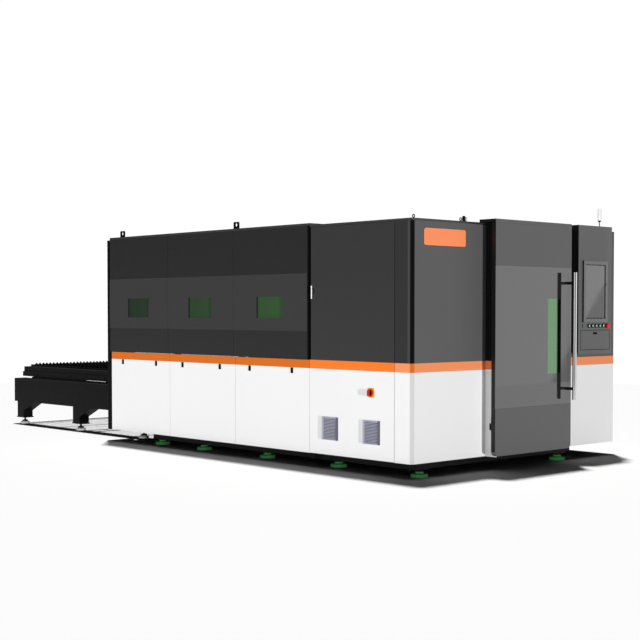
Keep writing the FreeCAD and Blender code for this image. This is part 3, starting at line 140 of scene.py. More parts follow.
# ---------------------------------------------------------------- shader groups
def new_group(name, inputs, outputs):
    """An empty shader group, what it is given, and its end.

    Sockets in are (name, kind, default), and sockets out are (name, kind).
    """
    group = bpy.data.node_groups.new(name, "ShaderNodeTree")
    for label, kind, default in inputs:
        socket = group.interface.new_socket(label, in_out="INPUT", socket_type="NodeSocket" + kind)
        socket.default_value = default
    for label, kind in outputs:
        group.interface.new_socket(label, in_out="OUTPUT", socket_type="NodeSocket" + kind)
    return group, group.nodes.new("NodeGroupInput").outputs, group.nodes.new("NodeGroupOutput")


def feed(tree, socket, value):
    """Links a socket to another one, or gives it a number, a vector or a colour."""
    if isinstance(value, bpy.types.NodeSocket):
        tree.links.new(value, socket)
    else:
        socket.default_value = (*value, 1) if socket.type == "RGBA" else value


def set_inputs(tree, node, **values):
    """Feeds a node's sockets; underscores stand for the spaces in their names."""
    for name, value in values.items():
        feed(tree, node.inputs[name.replace("_", " ")], value)


def math_node(tree, operation, first, second):
    """One sum of two sockets or numbers."""
    node = tree.nodes.new("ShaderNodeMath")
    node.operation = operation
    feed(tree, node.inputs[0], first)
    feed(tree, node.inputs[1], second)
    return node.outputs[0]


def vector_node(tree, operation, first, second):
    """One sum of two vectors, or of a vector and its scale; a dot product is a number."""
    node = tree.nodes.new("ShaderNodeVectorMath")
    node.operation = operation
    feed(tree, node.inputs[0], first)
    feed(tree, node.inputs["Scale" if operation == "SCALE" else 1], second)
    return node.outputs["Value" if operation == "DOT_PRODUCT" else "Vector"]


def mix_colour(tree, share, first, second):
    """Colour between two, by a share from 0 to 1."""
    node = tree.nodes.new("ShaderNodeMix")
    node.data_type = "RGBA"
    for socket, value in (("Factor", share), (6, first), (7, second)):
        feed(tree, node.inputs[socket], value)
    return node.outputs[2]


def noise(tree, vector, scale, detail=3.0):
    """Noise at a scale given by a number or a socket."""
    node = tree.nodes.new("ShaderNodeTexNoise")
    set_inputs(tree, node, Vector=vector, Scale=scale, Detail=detail)
    return node.outputs["Fac"]


def object_place(tree):
    """Place of a point in its object's own frame."""
    return tree.nodes.new("ShaderNodeTexCoord").outputs["Object"]


def coat_group():
    """Powder coat: a little cloudiness in tone, orange peel as height, and dust that thins out upwards."""
    group, given, result = new_group(
        "powder_coat",
        [("Colour", "Color", (0.5, 0.5, 0.5, 1)), ("Cloudiness", "Float", 0.06),
         ("Peel Scale", "Float", 420.0), ("Base Roughness", "Float", 0.4), ("Dust", "Float", 0.2),
         ("Dust Height", "Float", 0.35)],
        [("Colour", "Color"), ("Roughness", "Float"), ("Height", "Float")])
    place = object_place(group)
    cloud = noise(group, place, 1.7)
    fine = noise(group, place, given["Peel Scale"], 1.0)
    smear = noise(group, place, 9.0, 4.0)
    height = vector_node(group, "DOT_PRODUCT", place, (0, 0, 1))
    low = math_node(group, "SUBTRACT", 1.0, math_node(group, "DIVIDE", height, given["Dust Height"]))
    low = math_node(group, "MAXIMUM", low, 0.0)
    dust = math_node(group, "MULTIPLY", math_node(group, "MULTIPLY", low, smear), given["Dust"])
    tone = math_node(group, "MULTIPLY", math_node(group, "SUBTRACT", cloud, 0.5), given["Cloudiness"])
    shade = vector_node(group, "SCALE", given["Colour"], math_node(group, "ADD", tone, 1.0))
    rough = math_node(group, "MULTIPLY", math_node(group, "SUBTRACT", smear, 0.5), 0.12)
    rough = math_node(group, "ADD", rough, given["Base Roughness"])
    rough = math_node(group, "ADD", rough, math_node(group, "MULTIPLY", dust, 0.5))
    set_inputs(group, result, Colour=mix_colour(group, dust, shade, DUST), Roughness=rough, Height=fine)
    return group


def zone_group():
    """Paint zones by height: white, an orange stripe with a pale line under it, and the upper colour."""
    group, given, result = new_group(
        "paint_zones",
        [("Lower", "Color", (1, 1, 1, 1)), ("Stripe", "Color", (1, 0.4, 0, 1)),
         ("Upper", "Color", (0, 0, 0, 1)), ("Line", "Color", (0.7, 0.85, 1, 1))],
        [("Colour", "Color")])
    height = vector_node(group, "DOT_PRODUCT", object_place(group), (0, 0, 1))
    colour = given["Lower"]
    for start, name in ((WHITE_TOP - EDGE_LINE, "Line"), (WHITE_TOP, "Stripe"), (STRIPE_TOP, "Upper")):
        above = math_node(group, "GREATER_THAN", height, start)
        colour = mix_colour(group, above, colour, given[name])
    set_inputs(group, result, Colour=colour)
    return group


def grain_group():
    """Brushed or ground metal: fine lines drawn out along one axis, as tone, roughness and height."""
    group, given, result = new_group(
        "metal_grain",
        [("Colour", "Color", (0.6, 0.6, 0.6, 1)), ("Stretch", "Vector", (1, 1, 60)),
         ("Base Roughness", "Float", 0.3), ("Depth", "Float", 0.12)],
        [("Colour", "Color"), ("Roughness", "Float"), ("Height", "Float")])
    drawn_out = vector_node(group, "MULTIPLY", object_place(group), given["Stretch"])
    lines = noise(group, drawn_out, 14.0, 5.0)
    tone = math_node(group, "MULTIPLY", math_node(group, "SUBTRACT", lines, 0.5), given["Depth"])
    shade = vector_node(group, "SCALE", given["Colour"], math_node(group, "ADD", tone, 1.0))
    rough = math_node(group, "ADD", tone, given["Base Roughness"])
    set_inputs(group, result, Colour=shade, Roughness=rough, Height=lines)
    return group


COAT = coat_group()
ZONES = zone_group()
GRAIN = grain_group()


# ---------------------------------------------------------------- finishes
def new_finish(name):
    """A material with its Principled shader."""
    finish = bpy.data.materials.new(name)
    finish.use_nodes = True
    return finish, finish.node_tree, finish.node_tree.nodes["Principled BSDF"]


def place_group(tree, group, **values):
    """A group placed in a material with its own values and links; gives what comes out of it."""
    node = tree.nodes.new("ShaderNodeGroup")
    node.node_tree = group
    set_inputs(tree, node, **values)
    return node.outputs


def join_surface(tree, shader, surface, bump, distance):
    """Colour, roughness and a bump from a group's height go to the shader."""
    relief = tree.nodes.new("ShaderNodeBump")
    set_inputs(tree, relief, Strength=bump, Distance=distance, Height=surface["Height"])
    set_inputs(tree, shader, Base_Color=surface["Colour"], Roughness=surface["Roughness"],
               Normal=relief.outputs[0])


def powder_coat(name, colour, rough, cloud, dust=0.0, sheen=0.5):
    """Plain powder-coated steel."""
    finish, tree, shader = new_finish(name)
    surface = place_group(tree, COAT, Colour=colour, Base_Roughness=rough, Cloudiness=cloud, Dust=dust)
    join_surface(tree, shader, surface, 0.12, PEEL_DEPTH)
    set_inputs(tree, shader, Specular_IOR_Level=sheen)
    return finish


def object_share(tree, line, start, end):
    """How far a point has gone along a line, from 0 at the start to 1 at the end."""
    gone = vector_node(tree, "DOT_PRODUCT", object_place(tree), line)
    ramp = tree.nodes.new("ShaderNodeMapRange")
    set_inputs(tree, ramp, Value=gone, From_Min=start, From_Max=end)
    return ramp.outputs["Result"]


def past(tree, line, place, blend=0.001):
    """1 beyond a place along a line and 0 before it, with a narrow blend between."""
    return object_share(tree, line, place, place + blend)


def cover_paint(name, upper, stripe=ORANGE, lower=WHITE, sheen=COVER_SHEEN, corner=0):
    """The covers' paint: white, orange stripe and grey, by height; a corner of -1 or 1 has a strip of painted
    shade on its chamfer.

    The strip is the chamfer, where distance from the side / 33 mm + distance from the front / 19 mm is 1.
    Behind the chamfer the side is grey, with painted light making it a little paler in front of the fold
    line; the front takes the upper tone, a lit copy.
    """
    finish, tree, shader = new_finish(name)
    side = SIDE_WALLS[(corner + 1) // 2]
    if corner:
        on_front = past(tree, (-corner, 0, 0), SKIN - corner * side, SKIN)
        side_grey = mix_colour(tree, past(tree, (0, -1, 0), FOLD_LINE, 0.002), GREY, FOLD_LIT_GREY)
        upper = mix_colour(tree, on_front, side_grey, upper)
    zones = place_group(tree, ZONES, Lower=lower, Stripe=stripe, Upper=upper, Line=LINE_BLUE)
    colour = zones["Colour"]
    if corner:
        line = (-corner / CHAMFER[0], 1 / CHAMFER[1], 0)
        on_chamfer = line[0] * side + line[1] * FRONT_WALL + 1
        edge = place_group(tree, ZONES, **CHAMFER_SHADE)
        colour = mix_colour(tree, past(tree, line, on_chamfer + 0.02, 0.02), edge["Colour"], colour)
    surface = place_group(tree, COAT, Colour=colour, Base_Roughness=0.42, Cloudiness=0.035, Dust=0.02)
    join_surface(tree, shader, surface, 0.1, PEEL_DEPTH)
    set_inputs(tree, shader, Specular_IOR_Level=sheen)
    return finish


def shade_sided(name, colour, left, rough=0.36):
    """Grey powder coat whose left side, past a plane across x, is painted black: painted shade."""
    finish, tree, shader = new_finish(name)
    sided = mix_colour(tree, past(tree, (1, 0, 0), left + SKIN, SKIN), BLACK, colour)
    surface = place_group(tree, COAT, Colour=sided, Base_Roughness=rough, Dust=0.0)
    join_surface(tree, shader, surface, 0.12, PEEL_DEPTH)
    set_inputs(tree, shader, Specular_IOR_Level=COVER_SHEEN)
    return finish


def gloss_plate(name, colour, rough=0.08, bend=1.5):
    """Glossy acrylic or glass-backed plate with a faint cloudiness."""
    finish, tree, shader = new_finish(name)
    surface = place_group(tree, COAT, Colour=colour, Base_Roughness=rough, Cloudiness=0.04, Dust=0.02)
    join_surface(tree, shader, surface, 0.01, FINE_DEPTH)
    set_inputs(tree, shader, IOR=bend, Coat_Weight=0.35, Coat_Roughness=0.03)
    return finish


def glaze(tree, shader, tint, rough, cloud):
    """Smooth tinted glass, a little see-through, with a clear coat."""
    surface = place_group(tree, COAT, Colour=tint, Base_Roughness=rough, Cloudiness=cloud, Dust=0.0)
    set_inputs(tree, shader, Base_Color=surface["Colour"], Roughness=surface["Roughness"], Alpha=0.95,
               Coat_Weight=0.5)


def side_glass(name, far, near, span):
    """Laser-safe panes of the side windows, whose colour goes from one tone to another along y: painted
    light, paler towards the front.
    """
    finish, tree, shader = new_finish(name)
    glaze(tree, shader, mix_colour(tree, object_share(tree, (0, -1, 0), *span), far, near), 0.06, 0.25)
    return finish


def door_glass(name, tint, edge, rim):
    """Green door pane, painted darker past one plane across x and black past a second: painted shade and the
    handle's dark reflection.
    """
    finish, tree, shader = new_finish(name)
    dark = tuple(0.45 * part for part in tint)
    colour = mix_colour(tree, past(tree, (1, 0, 0), edge), tint, dark)
    glaze(tree, shader, mix_colour(tree, past(tree, (1, 0, 0), rim), colour, BLACK), 0.05, 0.1)
    return finish


def bar_metal(name, colour, back):
    """Polished bar whose side towards the door, behind a plane across y, is painted black: a painted dark
    reflection.
    """
    finish, tree, shader = new_finish(name)
    surface = place_group(tree, GRAIN, Colour=colour, Base_Roughness=0.06, Stretch=(90.0, 90.0, 1.0),
                          Depth=0.06)
    join_surface(tree, shader, surface, 0.02, GRAIN_DEPTH)
    sided = mix_colour(tree, past(tree, (0, 1, 0), back), surface["Colour"], BLACK)
    set_inputs(tree, shader, Base_Color=sided, Metallic=1.0)
    return finish


def metal(name, colour, rough, stretch=(60.0, 60.0, 1.0), depth=0.12, bump=0.05):
    """Bare metal with its grain drawn along the axis whose stretch is least."""
    finish, tree, shader = new_finish(name)
    surface = place_group(tree, GRAIN, Colour=colour, Base_Roughness=rough, Stretch=stretch, Depth=depth)
    join_surface(tree, shader, surface, bump, GRAIN_DEPTH)
    set_inputs(tree, shader, Metallic=1.0)
    return finish


def moulded(name, colour, rough=0.45, coat=0.0):
    """Moulded plastic with a fine spark-eroded texture."""
    finish, tree, shader = new_finish(name)
    surface = place_group(tree, COAT, Colour=colour, Base_Roughness=rough, Peel_Scale=1500.0, Cloudiness=0.1,
                          Dust=0.1, Dust_Height=0.1)
    join_surface(tree, shader, surface, 0.2, FINE_DEPTH)
    set_inputs(tree, shader, Coat_Weight=coat)
    return finish


PAINT = {
    "covers": cover_paint("cover_paint", GREY),
    # rear and shaded covers carry painted shade; the corners and front covers carry painted light
    "rear_shade_covers": cover_paint("rear_shade_cover_paint", REAR_SHADE_GREY, REAR_SHADE_ORANGE),
    "left_corner": cover_paint("left_corner_paint", FRONT_LIT_GREY, FRONT_LIT_ORANGE, WHITE, FRONT_SHEEN, -1),
    "right_corner": cover_paint("right_corner_paint", FRONT_LIT_GREY, FRONT_LIT_ORANGE, WHITE, FRONT_SHEEN, 1),
    "front_lit_covers": cover_paint("front_lit_cover_paint", FRONT_LIT_GREY, FRONT_LIT_ORANGE, WHITE, FRONT_SHEEN),
    "shaded_covers": cover_paint("shaded_cover_paint", FRONT_LIT_GREY, SHADED_ORANGE, SHADED_WHITE),
    # left sides of the door, console and bezel are painted shade; the door's and console's greys are lit
    # copies of the covers' grey
    "door": shade_sided("door_grey", (0.096, 0.096, 0.097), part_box("door_slab")[0][0]),
    "console": shade_sided("console_grey", (0.111, 0.111, 0.113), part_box("console_box")[0][0]),
    "bezel": shade_sided("bezel_grey", (0.16, 0.16, 0.163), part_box("screen_bezel")[0][0] + 0.002, 0.3),
    "roof": powder_coat("roof_grey", GREY, 0.42, 0.08),
    "black": powder_coat("black_coat", BLACK, 0.5, 0.1, sheen=0.05),
    "table": powder_coat("table_black", TABLE_BLACK, 0.5, 0.25, sheen=0.08),
    "bed": powder_coat("bed_grey", (0.006, 0.006, 0.0062), 0.5, 0.2, sheen=0.08),
    "inner_wall": powder_coat("inner_wall_grey", (0.12, 0.12, 0.125), 0.5, 0.1, 0.2),
    "source": powder_coat("source_white", (0.6, 0.61, 0.62), 0.42, 0.06, 0.1),
    "gantry": powder_coat("gantry_white", (0.62, 0.63, 0.64), 0.4, 0.06),
    "vent": powder_coat("vent_grey", (0.4, 0.41, 0.5), 0.5, 0.1),
    "vent_shade": powder_coat("vent_shade_grey", (0.085, 0.085, 0.11), 0.5, 0.1),
    "badge_rim": powder_coat("badge_rim_grey", (0.028, 0.05, 0.085), 0.4, 0.05),
    "band": gloss_plate("band_gloss", (0.045, 0.045, 0.046), 0.1),
    "door_gloss": gloss_plate("door_gloss", (0.02, 0.02, 0.0205), 0.03, 2.0),
    "screen": gloss_plate("screen_face", (0.038, 0.038, 0.04), 0.02, 2.1),
    "side_glass": side_glass("side_laser_glass", (0.021, 0.034, 0.0203), (0.037, 0.0905, 0.034),
                             (-0.75, 1.8)),
    "door_glass": door_glass("door_laser_glass", (0.106, 0.256, 0.099), PANE_SHADE_EDGE, PANE_REFLECTION_EDGE),
    "steel": metal("ground_steel", STEEL, 0.28),
    "dark_steel": metal("slat_steel", DARK_STEEL, 0.5, (1.0, 60.0, 60.0), 0.5, 0.2),
    "chrome": bar_metal("polished_bar", (0.7, 0.7, 0.71),
                        sum(corner[1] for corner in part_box("door_handle")) / 2),
    "zinc": metal("zinc_plate", (0.4, 0.4, 0.42), 0.34, (20.0, 20.0, 20.0), 0.3, 0.1),
    "alloy": metal("anodised_alloy", (0.6, 0.61, 0.62), 0.38, (60.0, 1.0, 60.0)),
    "pad": moulded("pad_green", PAD_GREEN),
    "black_plastic": moulded("black_plastic", (0.012, 0.012, 0.012), 0.4),
    "nylon": moulded("wheel_nylon", (0.02, 0.02, 0.021), 0.5),
    # the isolator plate's yellow is darkened towards olive: painted shade
    "yellow": moulded("isolator_yellow", (0.52, 0.47, 0.01), 0.4, 0.1),
    "amber": moulded("isolator_amber", (0.72, 0.27, 0.005), 0.4, 0.1),
    "red": moulded("signal_red", (0.8, 0.004, 0.003), 0.4),
    "knob_red": moulded("knob_red", (0.46, 0.006, 0.004), 0.4),
    "green": moulded("button_green", (0.42, 0.8, 0.48), 0.28, 0.4),
    "lamp": moulded("lamp_shell", (0.74, 0.74, 0.75), 0.2, 0.6),
    "white_enamel": moulded("lever_enamel", (0.8, 0.8, 0.8), 0.3, 0.3),
    "badge_plate": powder_coat("badge_orange", (0.95, 0.272, 0.1), 0.36, 0.05),
}


NODE_FINISH = {
    "bed_frame": "bed", "gantry_rails": "steel", "pallet_tracks": "table", "exchange_table": "table",
    "enclosure_frame": "black", "front_left_panel": "left_corner", "front_right_panel": "right_corner",
    "left_access_panels": "rear_shade_covers", "left_upper_panels": "rear_shade_covers",
    "right_side_panels": "rear_shade_covers", "window_band": "band", "window_panes": "side_glass",
    "rear_portal": "black", "roof_panels": "roof",
    # the door's box frame is painted black as painted shade
    "partition_wall": "inner_wall", "laser_source": "source", "lifting_lugs": "black", "door_portal": "black",
    "door_hood": "door", "door_slab": "door", "door_gloss_panel": "door_gloss", "door_window": "door_glass",
    "door_hinge_brackets": "black", "door_hinge_leaves": "black", "cabinet_door": "covers",
    "cabinet_pivots": "black", "console_box": "console", "keyboard_flap": "console", "screen_glass": "screen",
    "outer_pallet_frame": "table", "inner_pallet_frame": "table", "gantry_beam": "gantry",
    "beam_rails": "steel", "gantry_motors": "black_plastic", "x_carriage": "alloy", "cutting_head": "alloy",
}
for node_name, finish_name in NODE_FINISH.items():
    nodes[node_name].data.materials.clear()
    nodes[node_name].data.materials.append(PAINT[finish_name])


# ---------------------------------------------------------------- surfaces
def new_piece(name, points, faces, finish):
    """An object with a mesh of its own and one finish."""
    mesh = bpy.data.meshes.new(name)
    mesh.from_pydata(points.reshape(-1, 3).tolist(), [], faces)
    mesh.update()
    mesh.materials.append(PAINT[finish])
    piece = bpy.data.objects.new(name, mesh)
    bpy.context.scene.collection.objects.link(piece)
    return piece


def ring_surfaces(name, rings, finish, smooth_below):
    """Closed shells from rings of points, an array (shells, rings, points, 3).

    Point (i, j) of a shell joins (i, j+1), (i+1, j+1) and (i+1, j) as one face, j goes round, and a flat face
    closes the first and the last ring.
    """
    shells, rows, around, _ = rings.shape
    base = (np.arange(shells) * rows * around)[:, None, None]
    i, j = np.meshgrid(np.arange(rows - 1), np.arange(around), indexing="ij")
    after = (j + 1) % around
    quads = np.stack([i * around + j, i * around + after, (i + 1) * around + after, (i + 1) * around + j], -1)
    quads = (base[..., None] + quads[None]).reshape(-1, 4)
    start = base[:, 0, 0][:, None] + np.arange(around)[None, ::-1]
    end = base[:, 0, 0][:, None] + (rows - 1) * around + np.arange(around)[None]
    piece = new_piece(name, rings, quads.tolist() + start.tolist() + end.tolist(), finish)
    piece.data.set_sharp_from_angle(angle=math.radians(smooth_below))
    piece.data.polygons.foreach_set("use_smooth", np.ones(len(piece.data.polygons), bool))
    return piece


def along(rings, axis):
    """Rings made upright are laid so that their own z runs along x or y, by an even swap of coordinates."""
    return rings[..., {"x": [2, 0, 1], "y": [1, 2, 0]}[axis]]


def stand_out(rings, axis, spot):
    """Upright rings laid so that they stand out from a spot along -x or -y, and wound the other way round."""
    rings = along(rings, axis)[:, :, ::-1].copy()
    rings[..., "xy".index(axis)] *= -1
    return rings + np.array(spot, float)


def turned(profile, around=32, ripple=0.0, waves=0, twist=0.0):
    """A turned form: radius r at height h gives (r cos a, r sin a, h).

    A ripple makes the radius r (1 + ripple sin(waves a + twist h)), as on ribs or a screw thread.
    """
    radius, height = np.array(profile, float).T[:, :, None]
    angle = np.linspace(0, 2 * np.pi, around, endpoint=False)[None]
    r = radius * (1 + ripple * np.sin(waves * angle + twist * height))
    return np.stack([r * np.cos(angle), r * np.sin(angle), height + 0 * angle], -1)[None]


def round_outline(width, depth, corner, steps=6):
    """A rectangle with round corners: each quarter turn of a circle stands in its own corner."""
    turn = np.linspace(0, np.pi / 2, steps)
    quarter = np.arange(4)[:, None] * np.pi / 2
    angle = (quarter + turn[None]).reshape(-1)
    sign_x = np.repeat([1, -1, -1, 1], steps)
    sign_y = np.repeat([1, 1, -1, -1], steps)
    return np.stack([sign_x * (width / 2 - corner) + corner * np.cos(angle),
                     sign_y * (depth / 2 - corner) + corner * np.sin(angle)], -1)


def layers(outlines, heights):
    """One shell from flat outlines, each laid at its own height."""
    rows = [np.column_stack([flat, np.full(len(flat), z)]) for flat, z in zip(outlines, heights)]
    return np.stack(rows)[None]


def soft_plate(width, depth, thick, corner, bevel, steps=6):
    """A plate with round corners and bevelled rims: four outlines, the end ones drawn in by the bevel."""
    full = round_outline(width, depth, corner, steps)
    small = round_outline(width - 2 * bevel, depth - 2 * bevel, max(corner - bevel, bevel / 4), steps)
    return layers((small, full, full, small), (0, bevel, thick - bevel, thick))


def thin_bar(tall, wide, thick):
    """A flat bar in the x-z plane, with its edges just broken."""
    return along(soft_plate(tall, wide, thick, 0.0004, 0.0002, 2), "y")


def border(left, right, low, high, width, thick):
    """Four flat bars round a rectangle in the x-z plane; faces look along -y, and backs are at y = 0."""
    upright = thin_bar(high - low + 2 * width, width, thick)
    level = thin_bar(width, right - left, thick)
    return np.concatenate([
        copies(upright, [(x, -thick, (low + high) / 2) for x in (left - width / 2, right + width / 2)]),
        copies(level, [((left + right) / 2, -thick, z) for z in (low - width / 2, high + width / 2)])])


def copies(rings, places):
    """The same rings at several places."""
    return np.concatenate([rings + np.array(place, float) for place in places])


def middle(node):
    """Middle of a CAD node's box."""
    low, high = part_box(node)
    return np.array((low + high) / 2)


def under(boxes, height=0):
    """Points at one height on the upright lines through the middles of boxes."""
    return [((low[0] + high[0]) / 2, (low[1] + high[1]) / 2, height) for low, high in boxes]


def solids_at(node):
    """(lowest, highest) corners of each separate solid of a CAD node, found by walking its shared points."""
    mesh = nodes[node].data
    points = np.zeros(len(mesh.vertices) * 3)
    mesh.vertices.foreach_get("co", points)
    points = points.reshape(-1, 3)
    _, same = np.unique(np.round(points, 5), axis=0, return_inverse=True)
    same = same.reshape(-1)
    edges = np.zeros(len(mesh.edges) * 2, int)
    mesh.edges.foreach_get("vertices", edges)
    ends = same[edges].reshape(-1, 2)
    label = np.arange(same.max() + 1)
    while True:
        lower = label.copy()
        np.minimum.at(lower, ends[:, 0], label[ends[:, 1]])
        np.minimum.at(lower, ends[:, 1], label[ends[:, 0]])
        lower = lower[lower]
        if (lower == label).all():
            break
        label = lower
    own = label[same]
    return [(points[own == n].min(0), points[own == n].max(0)) for n in np.unique(own)]


def settle(piece, body, slot, *replaced):
    """Lets a piece ride on its body and hides the CAD nodes that it stands for; the slot is not used."""
    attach(piece, body)
    if replaced:
        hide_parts(*replaced)


def add(name, rings, finish, body, slot, *replaced, smooth_below=35.0):
    """Makes a piece from rings and settles it."""
    settle(ring_surfaces(name, rings, finish, smooth_below), body, slot, *replaced)


# ---------------------------------------------------------------- floor pads and feet
def levelling_pads():
    """Green pads: a ribbed skirt under a sloping shoulder and a boss, turned, with twenty-four ribs."""
    boxes = solids_at("levelling_pads")
    radius = (boxes[0][1][0] - boxes[0][0][0]) / 2
    top = boxes[0][1][2]
    skirt = turned([(radius * 0.94, 0), (radius * 0.97, top * 0.06), (radius * 0.97, top * 0.52),
                    (radius * 0.93, top * 0.58)], 96, 0.02, 24)
    boss = turned([(radius * 0.88, top * 0.6), (radius * 0.53, top * 0.7), (radius * 0.5, top * 0.74),
                   (radius * 0.48, top * 0.95), (radius * 0.44, top)], 96)
    rows = np.concatenate([skirt, boss], 1)
    add("levelling_pad_set", copies(rows, under(boxes)), "pad", "machine", "green_plastic", "levelling_pads")


def levelling_studs():
    """Threaded studs, whose radius winds round as a screw, each with a hexagon nut against the sill."""
    boxes = solids_at("levelling_studs")
    low_z, high_z = boxes[0][0][2], boxes[0][1][2]
    radius, pitch, rows = 0.0098, 0.003, 24
    height = np.linspace(low_z - 0.002, high_z, rows)
    thread = turned(np.column_stack([np.full(rows, radius), height]), 24, 0.05, 1, 2 * np.pi / pitch)
    add("levelling_thread_set", copies(thread, under(boxes)), "dark_steel", "machine", "ground_steel",
        "levelling_studs", smooth_below=60)
    nut, nut_low, ease = 0.0168, high_z - 0.012, 0.0015
    hexagon = turned([(nut * 0.9, nut_low), (nut, nut_low + ease), (nut, high_z - ease),
                      (nut * 0.9, high_z)], 6)
    add("levelling_nut_set", copies(hexagon, under(boxes)), "dark_steel", "machine", "ground_steel")


def table_feet():
    """Feet of the exchange table: a wide bright sole, a black collar on it and a black stud, all turned."""
    boxes = solids_at("table_feet")
    radius = (boxes[0][1][0] - boxes[0][0][0]) / 2
    top = boxes[0][1][2]
    sole = turned([(radius - 0.006, 0), (radius - 0.001, 0.005), (radius - 0.001, 0.018),
                   (radius - 0.008, 0.026), (0.03, 0.034)], 48)
    add("table_foot_soles", copies(sole, under(boxes)), "lamp", "machine", "black_plastic", "table_feet")
    stud = turned([(0.036, 0.03), (0.036, 0.042), (0.03, 0.048), (0.012, 0.05), (0.012, top)], 48)
    add("table_foot_studs", copies(stud, under(boxes)), "black_plastic", "machine", "black_plastic")


# ---------------------------------------------------------------- pallets
def slat_row(side):
    """Toothed slats: a slat's top is a triangle wave, and its two faces are one sheet apart."""
    low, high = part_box(side + "_slats")
    count, teeth, tooth, thick = 37, 24, 0.022, 0.003
    steps = np.arange(2 * teeth + 1)
    x = low[0] + (high[0] - low[0]) * steps / (2 * teeth)
    z = np.where(steps % 2 == 1, high[2], high[2] - tooth)
    top = np.column_stack([x, z])
    outline = np.vstack([top, [[high[0], low[2]], [low[0], low[2]]]])[::-1]
    slat = layers((outline, outline), (0, thick))[..., [0, 2, 1]]
    slats = copies(slat, [(0, y, 0) for y in np.linspace(low[1], high[1] - thick, count)])
    add(side + "_slat_row", slats, "dark_steel", side, "ground_steel", side + "_slats", smooth_below=20)


def pallet_wheels(side):
    """Track wheels: a tyre with rounded shoulders, a recessed web and a hub."""
    boxes = solids_at(side + "_wheels")
    width = boxes[0][1][0] - boxes[0][0][0]
    r = (boxes[0][1][2] - boxes[0][0][2]) / 2
    half = [(0.32, 0), (0.34, 0.1), (0.7, 0.12), (0.8, 0), (0.94, 0), (1, 0.12)]
    profile = half + [(radius, 1 - place) for radius, place in reversed(half)]
    rows = turned([(radius * r, place * width) for radius, place in profile], 32)
    places = [(low[0], (low[1] + high[1]) / 2, (low[2] + high[2]) / 2) for low, high in boxes]
    wheels = copies(along(rows, "x"), places)
    add(side + "_wheel_set", wheels, "nylon", side, "nylon", side + "_wheels")


def axle_bolts(side):
    """Hexagon heads of the axles on the outer faces of a pallet's lower beams."""
    low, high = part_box(side + "_frame")
    boxes = solids_at(side + "_wheels")
    head, thick, above_foot = 0.014, 0.009, 0.03
    hexagon = turned([(head, 0), (head, thick * 0.8), (head * 0.86, thick)], 6)
    height = low[2] + above_foot
    spots = sorted({round(float(a[1] + b[1]) / 2, 4) for a, b in boxes})
    left = [stand_out(hexagon, "x", (low[0], y, height)) for y in spots]
    right = copies(along(hexagon, "x"), [(high[0], y, height) for y in spots])
    add(side + "_axle_bolts", np.concatenate([*left, right]), "table", side, "black_paint")


# ---------------------------------------------------------------- left side
def panel_latches():
    """Latches of the lower covers: soft-edged tongues on the left and on the right wall."""
    more, shift = 0.004, 0.006
    latches = []
    for low, high in solids_at("panel_clips"):
        size, centre = high - low, (low + high) / 2
        rows = along(soft_plate(size[1] + more, size[2] + more, size[0], 0.004, 0.0012), "x")
        latches.append(rows + (low[0], centre[1] - shift, centre[2]))
    add("panel_latch_set", np.concatenate(latches), "black", "machine", "black_plastic", "panel_clips")


def cabinet_vents():
    """Louvred vents: slanted blades between soft rims, a back and front stile of painted shade, and the
    lock's disc in a ring of painted shade.
    """
    boxes = sorted(solids_at("cabinet_vents"), key=lambda pair: -(pair[1][2] - pair[0][2]))
    pale, shaded = [], []
    blades, rim, narrower, lean = 15, 0.009, 0.018, 0.5
    for low, high in boxes[:2]:
        high = high - np.array([0, narrower, 0])
        size, centre = high - low, (low + high) / 2
        stile = along(soft_plate(rim, size[2], size[0], 0.003, 0.001), "x")
        rail = along(soft_plate(size[1], rim, size[0], 0.003, 0.001), "x")
        back = along(soft_plate(size[1] - rim, size[2] - rim, 0.003, 0.003, 0.001), "x")
        # the front stile and the back take the dark tone: painted shade
        shaded.append(stile + (low[0], low[1] + rim / 2, centre[2]))
        shaded.append(back + (high[0] - 0.003, centre[1], centre[2]))
        pale.append(stile + (low[0], high[1] - rim / 2, centre[2]))
        for side in (-1, 1):
            pale.append(rail + (low[0] + 0.0005, centre[1], centre[2] + side * (size[2] - rim) / 2))
        pitch = (size[2] - 2 * rim) / blades
        blade = along(soft_plate(size[1] - 2 * rim, pitch * 0.6, 0.0016, 0.0007, 0.0004), "x")
        blade[..., 0] -= blade[..., 2] * lean
        for n in range(blades):
            pale.append(blade + (low[0] + size[0] * 0.3, centre[1], low[2] + rim + pitch * (n + 0.5)))
    add("louvre_set", np.concatenate(pale), "vent", "cabinet_door", "black_paint", "cabinet_vents")
    add("louvre_shade", np.concatenate(shaded), "vent_shade", "cabinet_door", "black_paint")
    low, high = boxes[2]
    raised = 0.012
    spot = (high[0], (low[1] + high[1]) / 2, (low[2] + high[2]) / 2 + raised)
    # the black ring round the grey disc is painted shade of its edge
    for name, r, share, finish in (("lock_shade_ring", 0.026, 0.5, "black"), ("lock_disc", 0.0205, 0.8, "covers")):
        thick = (high[0] - low[0]) * share
        disc = turned([(r, 0), (r, thick * 0.8), (r * 0.96, thick)], 40)
        add(name, stand_out(disc, "x", spot), finish, "cabinet_door", "black_paint")


